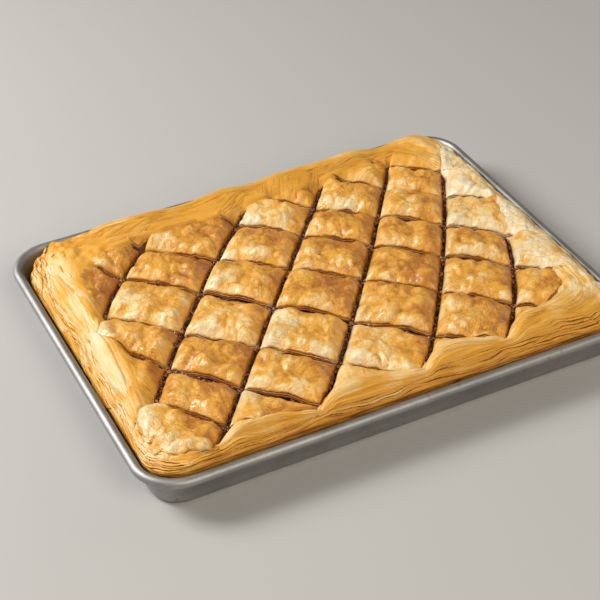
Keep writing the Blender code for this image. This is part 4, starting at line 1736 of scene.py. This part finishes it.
@dataclass
class Tray:
    """The baking tray: a thin sheet with flared walls and a rolled rim.

    The rim is a roll from turn roll_start to roll_end, in degrees, and a bend between floor and wall takes
    bend_steps.
    """

    slab: Slab
    height: float = 25.0
    rim_radius: float = 3.0
    sheet: float = 1.0
    flare: float = 4.0
    bend: float = 5.0
    bend_steps: int = 6
    roll_start: float = -48.0
    roll_end: float = -302.0
    rim_steps: int = 26
    corner_steps: int = 22

    def profile(self) -> list[Pair]:
        """The tray's section, from the underside round the rim to the floor.

        Returns:
            Distance in from the outermost edge and height, for each of its points.
        """

        def arc(foot: float, height: float, radius: float, turns: Array) -> list[Pair]:
            """Points round a middle that lies a radius in from foot, at a height."""
            return [(foot + radius * (1 + math.cos(turn)), height + radius * math.sin(turn)) for turn in turns]

        middle = self.height - self.rim_radius
        inner_foot = 2 * self.rim_radius + self.flare
        outer_foot = inner_foot - self.sheet
        inner = self.bend - self.sheet
        turns = np.radians(np.linspace(-90, -180, self.bend_steps + 1)[1:-1])
        roll = np.radians(np.linspace(self.roll_start, self.roll_end, self.rim_steps))
        return [
            (outer_foot + self.bend, 0.0),
            *arc(outer_foot, self.bend, self.bend, turns),
            (outer_foot, self.bend),
            *arc(0.0, middle, self.rim_radius, roll), (2 * self.rim_radius, middle),
            (inner_foot, self.bend), *arc(inner_foot, self.bend, inner, turns[::-1]),
            (inner_foot + inner, self.sheet),
        ]

    def skin(self) -> Skin:
        """The tray's mesh.

        Returns:
            The section led round the tray, closed at the floor and the underside.
        """
        slab = self.slab
        half_x, half_y = slab.length / 2 - slab.corner, slab.width / 2 - slab.corner
        rings = []
        for inset, height in self.profile():
            arcs = corner_arcs(half_x, half_y, slab.corner - inset, self.corner_steps)
            rings += [together(*arc.T, height) for arc in arcs]
        points = np.concatenate(rings)
        rows, count = len(rings) // 4, 4 * (self.corner_steps + 1)
        faces = ring_faces(rows, count)
        faces += [tuple(range(count))[::-1], tuple(range((rows - 1) * count, rows * count))]
        zero = np.zeros(len(points))
        return Skin(points, faces, zero, zero, points[:, :2])


class Nodes:
    """Adds nodes to a node tree and links them."""

    def __init__(self, tree: bpy.types.NodeTree) -> None:
        """Starts on a tree."""
        self.tree = tree

    def feed(self, socket: Socket, value: object) -> None:
        """Links a socket to an output, or sets its value."""
        if isinstance(value, Socket):
            self.tree.links.new(value, socket)
        else:
            socket.default_value = value

    def dress(self, shader: bpy.types.Node, looks: dict[str, object]) -> None:
        """Feeds a shader's sockets by their names."""
        for name, value in looks.items():
            self.feed(shader.inputs[name], value)

    def add(self, kind: str, settings: dict | None = None, **inputs: object) -> bpy.types.Node:
        """Adds a node.

        Args:
            kind: the node's type, without its ShaderNode prefix.
            settings: the node's own settings.
            inputs: values or output sockets for its inputs, by name with _ for a space, or iN by number.

        Returns:
            The node.
        """
        node = self.tree.nodes.new("ShaderNode" + kind)
        for name, value in (settings or {}).items():
            setattr(node, name, value)
        for name, value in inputs.items():
            numbered = name[0] == "i" and name[1:].isdigit()
            self.feed(node.inputs[int(name[1:]) if numbered else name.replace("_", " ")], value)
        return node

    def math(self, operation: str, a: object, b: object = 0.0, c: object = 0.0) -> Socket:
        """A sum of values."""
        return self.add("Math", {"operation": operation}, i0=a, i1=b, i2=c).outputs[0]

    def scaled(self, place: Socket, scale: Triple) -> Socket:
        """Places, scaled along each axis."""
        return self.add("Mapping", None, Vector=place, Scale=scale).outputs[0]

    def noise(self, place: Socket, scale: float, detail: float = 2.0) -> Socket:
        """Noise from 0 to 1, with scale swells for each metre."""
        return self.add("TexNoise", None, Vector=place, Scale=scale, Detail=detail).outputs["Fac"]

    def even_noise(self, place: Socket, scale: float, detail: float, span: float) -> Socket:
        """Noise about 0, with scale swells for each metre, that spans so much."""
        return self.math("MULTIPLY_ADD", self.noise(place, scale, detail), span, -span / 2)

    def off_middle(self, place: Socket, scale: float, detail: float) -> Socket:
        """How far noise is from its middle value, which is 0 along thin winding lines."""
        return self.math("ABSOLUTE", self.math("SUBTRACT", self.noise(place, scale, detail), 0.5))

    def lines(self, place: Socket, scale: float, detail: float, width: float) -> Socket:
        """Thin winding lines, 1 along them and 0 beside them."""
        return self.math("SUBTRACT", 1.0, self.span(self.off_middle(place, scale, detail), 0.0, width))

    def span(self, value: object, low: float, high: float) -> Socket:
        """0 at low, 1 at high and an S between."""
        return self.add("MapRange", {"interpolation_type": "SMOOTHSTEP"}, i0=value, i1=low, i2=high).outputs[0]

    def ramp(self, value: Socket, start: Pair, end: Pair) -> Socket:
        """A straight ramp: start and end each give a value and what it becomes."""
        return self.add("MapRange", None, i0=value, i1=start[0], i2=end[0], i3=start[1], i4=end[1]).outputs[0]

    def crumples(self, place: Socket) -> tuple[Socket, Socket]:
        """A crumpled sheet.

        Args:
            place: places on it, in metres.

        Returns:
            Thin creases, 1 along their lines, and small sharp-edged hills, 0 to 1.
        """
        creases = self.lines(place, 110, 2.0, 0.02)
        large = self.math("MULTIPLY", self.off_middle(place, 170, 2.0), 3.0)
        both = self.math("MULTIPLY_ADD", self.off_middle(place, 390, 2.0), 1.3, large)
        return creases, self.math("MINIMUM", both, 1.0)

    def strands(self, fibres: Socket) -> Socket:
        """Hair-thin lines along the sheets' fibres.

        Args:
            fibres: places along and across the fibres, in metres.

        Returns:
            1 along each line and 0 beside it.
        """
        coarse, fine = self.lines(fibres, 330, 1.0, 0.03), self.lines(fibres, 640, 1.0, 0.045)
        patchy = self.span(self.noise(fibres, 55, 1.0), 0.38, 0.6)
        both = self.math("MAXIMUM", coarse, self.math("MULTIPLY", fine, 0.6))
        return self.math("MULTIPLY", both, self.math("MULTIPLY_ADD", patchy, 0.8, 0.2))

    def mix(self, share: object, low: object, high: object) -> Socket:
        """A colour between two, low at a share of 0 and high at 1."""
        return self.add("Mix", {"data_type": "RGBA"}, Factor=share, i6=low, i7=high).outputs[2]


class GroupNodes(Nodes):
    """The nodes of a new shader node group with named sockets."""

    def __init__(self, name: str, inputs: dict[str, str], output: str, kind: str) -> None:
        """Starts the group.

        Args:
            name: its name.
            inputs: the kind of each input socket, by its name.
            output: the output socket's name.
            kind: the output socket's kind.
        """
        super().__init__(bpy.data.node_groups.new(name, "ShaderNodeTree"))
        for label, socket_kind in inputs.items():
            self.tree.interface.new_socket(label, in_out="INPUT", socket_type="NodeSocket" + socket_kind)
        self.tree.interface.new_socket(output, in_out="OUTPUT", socket_type="NodeSocket" + kind)
        self.given = self.tree.nodes.new("NodeGroupInput").outputs

    def finished(self, value: Socket) -> bpy.types.NodeTree:
        """The group, with its output fed."""
        self.feed(self.tree.nodes.new("NodeGroupOutput").inputs[0], value)
        return self.tree


# The colours of pastry, from pale to burnt, with the bake from which and to which each one comes in.
PALE = (0.80, 0.66, 0.43, 1)
BAKED = (
    ((0.81, 0.585, 0.265, 1), -0.15, 0.12),
    ((0.735, 0.362, 0.046, 1), 0.05, 0.40),
    ((0.46, 0.165, 0.02, 1), 0.36, 0.78),
    ((0.19, 0.05, 0.008, 1), 0.78, 1.2),
)
# The colours of painted shade in a crease and down a deep cut, also used for the dark of nuts and syrup,
# likewise by the shade.
SHADED = (((0.25, 0.072, 0.012, 1), 0.0, 0.6), ((0.045, 0.013, 0.005, 1), 0.45, 1.0))
SURFACE_INPUTS = {"Place": "Vector", "Fibres": "Vector", "Crumple": "Float", "Strands": "Float"}


def baked_and_shaded_colour() -> bpy.types.NodeTree:
    """Group: the colour of baked pastry, from pale to burnt, with painted shade in creases and cuts and painted
    highlight on small hills.

    Returns:
        The group.
    """
    nodes = GroupNodes("baked colour", {"Bake": "Float", "Shade": "Float", **SURFACE_INPUTS}, "Colour", "Color")
    given = nodes.given
    # Painted shade along fine creases and painted highlight on small hills.
    creases, hills = nodes.crumples(given["Place"])
    hilltops = nodes.math("MULTIPLY_ADD", hills, 0.2, -0.08)
    crease_shade_hill_highlight = nodes.math("SUBTRACT", nodes.math("MULTIPLY", creases, 0.1), hilltops)
    strands = nodes.math("MULTIPLY", nodes.strands(given["Fibres"]), given["Strands"])
    parts = (
        nodes.even_noise(given["Place"], 95, 3.0, 0.3),
        nodes.even_noise(given["Place"], 620, 3.0, 0.12),
        nodes.even_noise(given["Fibres"], 900, 2.0, 0.26),
        nodes.math("MULTIPLY", crease_shade_hill_highlight, given["Crumple"]),
        nodes.math("MULTIPLY", strands, 0.3),
    )
    bake = given["Bake"]
    for part in parts:
        bake = nodes.math("ADD", bake, part)
    colour = PALE
    for value, steps in ((bake, BAKED), (given["Shade"], SHADED)):
        for following, low, high in steps:
            colour = nodes.mix(nodes.span(value, low, high), colour, following)
    return nodes.finished(colour)


def flaky_relief() -> bpy.types.NodeTree:
    """Group: fine relief of thin baked sheets, with fibres along the grain and small blisters.

    Returns:
        The group.
    """
    nodes = GroupNodes("flaky relief", SURFACE_INPUTS, "Height", "Float")
    given = nodes.given
    grain = nodes.noise(given["Fibres"], 1400, 3.0)
    creases, hills = nodes.crumples(given["Place"])
    pores = nodes.noise(given["Place"], 2300, 1.0)
    height = nodes.math("MULTIPLY_ADD", hills, 0.9, nodes.math("MULTIPLY", creases, -0.25))
    height = nodes.math("MULTIPLY", height, given["Crumple"])
    fine = nodes.math("MULTIPLY_ADD", pores, 0.1, nodes.math("MULTIPLY", grain, 0.5))
    height = nodes.math("ADD", height, fine)
    strands = nodes.math("MULTIPLY", nodes.strands(given["Fibres"]), given["Strands"])
    return nodes.finished(nodes.math("MULTIPLY_ADD", strands, -0.9, height))


class Groups:
    """The node groups that several finishes use, each built once."""

    def __init__(self) -> None:
        """Builds them."""
        self.colour = baked_and_shaded_colour()
        self.relief = flaky_relief()


def new_material(name: str) -> tuple[bpy.types.Material, Nodes, bpy.types.Node]:
    """A new material.

    Args:
        name: its name.

    Returns:
        The material, its nodes and its shader.
    """
    material = bpy.data.materials.new(name)
    material.use_nodes = True
    return material, Nodes(material.node_tree), material.node_tree.nodes["Principled BSDF"]


@dataclass(frozen=True)
class PastryFinish:
    """Baked pastry.

    syrup is how much of it lies there, at the driest and the wettest places, and rough how rough those are,
    from the wettest to the driest. depth is how deep its fine relief goes, glow how much light spreads in it,
    stretch how long its fibres are drawn out, 1 for not at all, and crumple how crumpled it is. shine is how
    much it mirrors, and strands how strongly single strands show.
    """

    name: str
    syrup: Pair
    rough: Pair
    depth: float
    glow: float
    stretch: float
    crumple: float
    shine: float
    strands: float

    def make(self, groups: Groups) -> bpy.types.Material:
        """Makes the material.

        Args:
            groups: the node groups it uses.

        Returns:
            The material.
        """
        material, nodes, shader = new_material(self.name)
        place = nodes.add("TexCoord").outputs["Object"]
        bake, shade, grain = (nodes.add("Attribute", {"attribute_name": mask.value}) for mask in Mask)
        fibres = nodes.scaled(grain.outputs["Vector"], (self.stretch, 1, 1))
        surface = {"Place": place, "Fibres": fibres, "Crumple": self.crumple, "Strands": self.strands}
        masks = {"Bake": bake.outputs["Fac"], "Shade": shade.outputs["Fac"]}
        colour = nodes.add("Group", {"node_tree": groups.colour}, **masks, **surface)
        relief = nodes.add("Group", {"node_tree": groups.relief}, **surface)
        wet = nodes.noise(place, 130, 3.0)
        bump = nodes.add("Bump", None, Strength=0.8, Distance=self.depth * MM, Height=relief.outputs["Height"])
        looks = {
            "Base Color": colour.outputs["Colour"],
            "Coat Weight": nodes.ramp(wet, (0.35, self.syrup[0]), (0.65, self.syrup[1])),
            "Roughness": nodes.ramp(wet, (0.35, self.rough[1]), (0.65, self.rough[0])),
            "Normal": bump.outputs[0],
            "Specular IOR Level": self.shine,
            "Coat Roughness": 0.22,
            "Coat IOR": 1.45,
            "Subsurface Weight": self.glow,
            "Subsurface Radius": (1.0, 0.42, 0.14),
            "Subsurface Scale": 2.2 * MM,
        }
        nodes.dress(shader, looks)
        return material


@dataclass(frozen=True)
class SteelFinish:
    """Satin sheet steel with fine scratches and faint baked-on stains.

    Cloudy patches are cloud times as bright as the rest, and where it is stained, it takes on so much of
    stain. rough is how rough it is between its scratches and on them.
    """

    name: str = "tray steel"
    grey: Triple = (0.40, 0.394, 0.385)
    cloud: float = 0.82
    stain: Triple = (0.25, 0.17, 0.09)
    stained: float = 0.5
    rough: Pair = (0.50, 0.64)

    def make(self) -> bpy.types.Material:
        """Makes the material.

        Returns:
            The material.
        """
        material, nodes, shader = new_material(self.name)
        place = nodes.add("TexCoord").outputs["Object"]
        cloudy = nodes.span(nodes.noise(place, 45, 4.0), 0.35, 0.75)
        streaks = nodes.noise(nodes.scaled(place, (60, 60, 900)), 6, 3.0)
        colour = nodes.mix(cloudy, (*self.grey, 1), (*(self.cloud * part for part in self.grey), 1))
        stained = nodes.math("MULTIPLY", nodes.span(nodes.noise(place, 190, 4.0), 0.64, 0.74), self.stained)
        bump = nodes.add("Bump", None, Strength=0.25, Distance=0.05 * MM, Height=streaks)
        looks = {
            "Base Color": nodes.mix(stained, colour, (*self.stain, 1)),
            "Roughness": nodes.ramp(streaks, (0.3, self.rough[0]), (0.7, self.rough[1])),
            "Normal": bump.outputs[0],
            "Metallic": 1.0,
        }
        nodes.dress(shader, looks)
        return material


@dataclass(frozen=True)
class Lamp:
    """A square soft light: where it stands, in metres and degrees, its size, power and colour."""

    name: str
    azimuth: float
    elevation: float
    distance: float
    size: float
    power: float
    colour: Triple


@dataclass
class Studio:
    """The pale floor, the soft lights and the camera at the photograph's angle, in metres and degrees."""

    azimuth: float = -24.93
    elevation: float = 36.91
    roll: float = -2.06
    target: Triple = (-0.00059, 0.02091, 0.0)
    distance: float = 1.00652
    lens: float = 97.4
    sensor: float = 36.0
    nearest: float = 0.01
    farthest: float = 50.0
    floor_size: float = 8.0
    floor_rough: float = 0.75
    floor_colour: Triple = (0.46, 0.455, 0.445)
    lamps: tuple[Lamp, ...] = (
        Lamp("window", -126.0, 38.0, 1.4, 0.55, 21.4, (1.0, 0.985, 0.96)),
        Lamp("fill", 4.0, 40.0, 1.6, 0.9, 14.0, (1.0, 0.92, 0.79)),
        Lamp("far side", 95.0, 16.0, 2.0, 1.4, 6.0, (1.0, 0.97, 0.93)),
    )
    sky: Triple = (1.0, 0.95, 0.88)
    sky_strength: float = 0.17

    @staticmethod
    def direction(azimuth: float, elevation: float) -> Vector:
        """The direction from the tray towards a place round it."""
        a, e = math.radians(azimuth), math.radians(elevation)
        return Vector((math.sin(a) * math.cos(e), -math.cos(a) * math.cos(e), math.sin(e)))

    def camera(self) -> None:
        """Sets up the camera."""
        back = self.direction(self.azimuth, self.elevation)
        right = Vector((math.cos(math.radians(self.azimuth)), math.sin(math.radians(self.azimuth)), 0))
        up = right.cross(-back)
        cos, sin = math.cos(math.radians(self.roll)), math.sin(math.radians(self.roll))
        axes = Matrix((cos * right + sin * up, -sin * right + cos * up, back)).transposed().to_4x4()
        data = bpy.data.cameras.new("camera")
        data.lens, data.sensor_width = self.lens, self.sensor
        data.clip_start, data.clip_end = self.nearest, self.farthest
        made = add_object("camera", data)
        made.matrix_world = Matrix.Translation(Vector(self.target) + back * self.distance) @ axes
        bpy.context.scene.camera = made

    def floor(self) -> None:
        """Makes the floor, which isn't part of the object."""
        half = self.floor_size / 2
        mesh = bpy.data.meshes.new("floor")
        corners = [(-half, -half, 0), (half, -half, 0), (half, half, 0), (-half, half, 0)]
        mesh.from_pydata(corners, [], [(0, 1, 2, 3)])
        material, nodes, shader = new_material("floor")
        nodes.dress(shader, {"Base Color": (*self.floor_colour, 1), "Roughness": self.floor_rough})
        mesh.materials.append(material)
        made = add_object("floor", mesh)

    def lights(self) -> None:
        """Sets up the lights and the pale sky round the studio."""
        for lamp in self.lamps:
            data = bpy.data.lights.new(lamp.name, "AREA")
            data.shape = "SQUARE"
            data.size, data.energy, data.color = lamp.size, lamp.power, lamp.colour
            made = add_object(lamp.name, data)
            towards = self.direction(lamp.azimuth, lamp.elevation)
            made.location = towards * lamp.distance
            made.rotation_euler = towards.to_track_quat("Z", "Y").to_euler()
        world = bpy.data.worlds.new("studio")
        world.use_nodes = True
        sky = world.node_tree.nodes["Background"]
        sky.inputs["Color"].default_value = (*self.sky, 1)
        sky.inputs["Strength"].default_value = self.sky_strength
        bpy.context.scene.world = world
        bpy.context.scene.view_settings.view_transform = "Standard"

    def build(self) -> None:
        """Builds the whole studio."""
        self.camera()
        self.floor()
        self.lights()


def place_piece(made: bpy.types.Object, slot: str, nodes: tuple[str, ...]) -> None:
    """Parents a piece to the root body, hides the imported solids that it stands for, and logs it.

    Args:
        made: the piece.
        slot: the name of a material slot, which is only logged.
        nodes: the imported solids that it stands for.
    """
    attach(made, "root")
    if nodes:
        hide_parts(*nodes)
    solids = ", ".join(nodes) or "no solid"
    LOG.info("%s: %d faces, slot %s, for %s", made.name, len(made.data.polygons), slot, solids)


# How brown each diamond is on the whole, judged: 0 pale, 1 dark.
BROWNING = {
    "1_4": 0.45, "1_5": 0.5, "1_6": 0.25, "2_3": 0.2, "2_4": 0.35, "2_5": 0.28, "2_6": 0.2, "2_7": 0.52,
    "2_8": 0.5, "3_2": 0.35, "3_3": 0.5, "3_4": 0.42, "3_5": 0.5, "3_6": 0.2, "3_7": 0.32, "4_1": 0.35,
    "4_2": 0.28, "4_3": 0.46, "4_4": 0.62, "4_5": 0.4, "4_6": 0.2, "5_3": 0.35, "5_4": 0.42, "5_5": 0.36,
    "6_4": 0.5, "0_5": 0.4, "0_6": 0.54, "1_7": 0.3, "1_8": 0.45, "2_9": 0.1, "3_8": 0.05, "4_7": 0.15,
    "5_6": 0.4, "6_5": 0.5, "6_3": 0.0, "5_2": 0.02, "5_1": -0.18, "5_0": -0.18, "6_2": -0.12, "7_4": -0.1,
}
MEETING = {
    Kind.PUFFED: ("5_0", "5_1", "5_2", "6_3", "6_2", "7_4"),
    Kind.BULGED: ("2_9",),
    Kind.OVER: ("3_8",),
    Kind.DRAPED: ("1_7",),
    Kind.UNDER: ("0_5", "0_6"),
}

# A partial diamond's own brownness where the table has none, and the least ground that makes one.
USUAL_BROWN, LEAST_AREA = 0.32, 130.0
# How far single diamonds stand higher or lower, how steeply they tilt, and how high the partial ones stand.
LIFT, TILT, PARTIAL_LIFT = 0.9, 0.035, 0.35
# The smallest and largest nuts and crumbs, across.
NUT_SIZES, CRUMB_SIZES = (1.4, 2.8), (0.6, 1.3)
CRUST = PastryFinish(
    "golden crust", syrup=(0.1, 0.75), rough=(0.34, 0.5), depth=0.62, glow=0.05, stretch=0.35, crumple=1.0,
    shine=0.4, strands=0.5,
)
SHEETS = PastryFinish(
    "stacked sheets", syrup=(0.0, 0.2), rough=(0.42, 0.6), depth=0.4, glow=0.08, stretch=0.05, crumple=0.15,
    shine=0.22, strands=1.0,
)
NUTS = PastryFinish(
    "nuts in syrup", syrup=(0.7, 1.0), rough=(0.22, 0.40), depth=0.30, glow=0.0, stretch=1.0, crumple=0.0,
    shine=0.5, strands=0.0,
)


def whole_cells() -> list[Cell]:
    """The whole diamonds, column by column.

    Returns:
        Their cells.
    """
    return [
        Cell(column, row, Kind.WHOLE)
        for column, (first, last) in enumerate(WHOLE_ROWS)
        for row in range(first, last + 1)
    ]


def partial_cells() -> list[Cell]:
    """The diamonds that the border cuts short.

    Returns:
        Their cells.
    """
    whole = {(cell.column, cell.row) for cell in whole_cells()}
    kinds = {name: kind for kind, names in MEETING.items() for name in names}
    found = []
    for column in range(-1, len(WHOLE_ROWS)):
        for row in range(-1, len(CROSS_CUTS)):
            if (column, row) in whole:
                continue
            cell = Cell(column, row, kinds.get(f"{column + 1}_{row + 1}", Kind.FUSED))
            if cell.area() > LEAST_AREA:
                found.append(cell)
    return found


def main() -> None:
    """Builds the pieces in order and the studio round them."""
    logging.basicConfig(level=logging.INFO, format="%(name)s %(message)s")
    Studio().build()
    groups = Groups()
    crust, sheets, nuts = (finish.make(groups) for finish in (CRUST, SHEETS, NUTS))

    place_piece(Tray(SLAB).skin().make("baking_tray", SteelFinish().make()), "tray_steel", ("tray",))

    partial = partial_cells()
    lying_over = [cell for cell in partial if cell.kind in (Kind.OVER, Kind.DRAPED, Kind.PUFFED, Kind.BULGED)]
    border = Border(SLAB, RimPath(SLAB), lying_over)
    place_piece(border.body().make("border", sheets), "stacked_sheets", ("pastry_border",))
    place_piece(Skin.joined(border.loose()).make("border_flakes", sheets), "stacked_sheets", ())

    lifts = random.Random(12)
    looks = random.Random(7)
    for cell in whole_cells():
        lift = LIFT * lifts.uniform(-1, 1)
        tilt = (TILT * lifts.uniform(-1, 1), TILT * lifts.uniform(-1, 1))
        diamond = Diamond(cell, border, lift, tilt, looks.uniform(0, math.pi), BROWNING[cell.name])
        made = diamond.skin().make("diamond_" + cell.name, crust)
        place_piece(made, "golden_crust", ("piece_" + cell.name,))
    for cell in partial:
        brown = BROWNING.get(cell.name, USUAL_BROWN)
        diamond = Diamond(cell, border, PARTIAL_LIFT, (0.0, 0.0), looks.uniform(0, math.pi), brown)
        made = diamond.skin().make("partial_" + cell.name, sheets if cell.kind is Kind.FUSED else crust)
        place_piece(made, "stacked_sheets", ("pastry_border",))

    filling = Filling(SLAB)
    place_piece(filling.bed().make("filling_bed", nuts), "golden_crust", ())
    chance = random.Random(31)
    whole_nuts = filling.nuts(chance, filling.big_nuts, NUT_SIZES, 2)
    place_piece(whole_nuts.make("filling_nuts", nuts), "golden_crust", ())
    crumbs = filling.nuts(chance, filling.small_nuts, CRUMB_SIZES, 1)
    place_piece(crumbs.make("filling_crumbs", nuts), "golden_crust", ())


if __name__ == "__main__":
    main()
    bpy.context.view_layer.update()
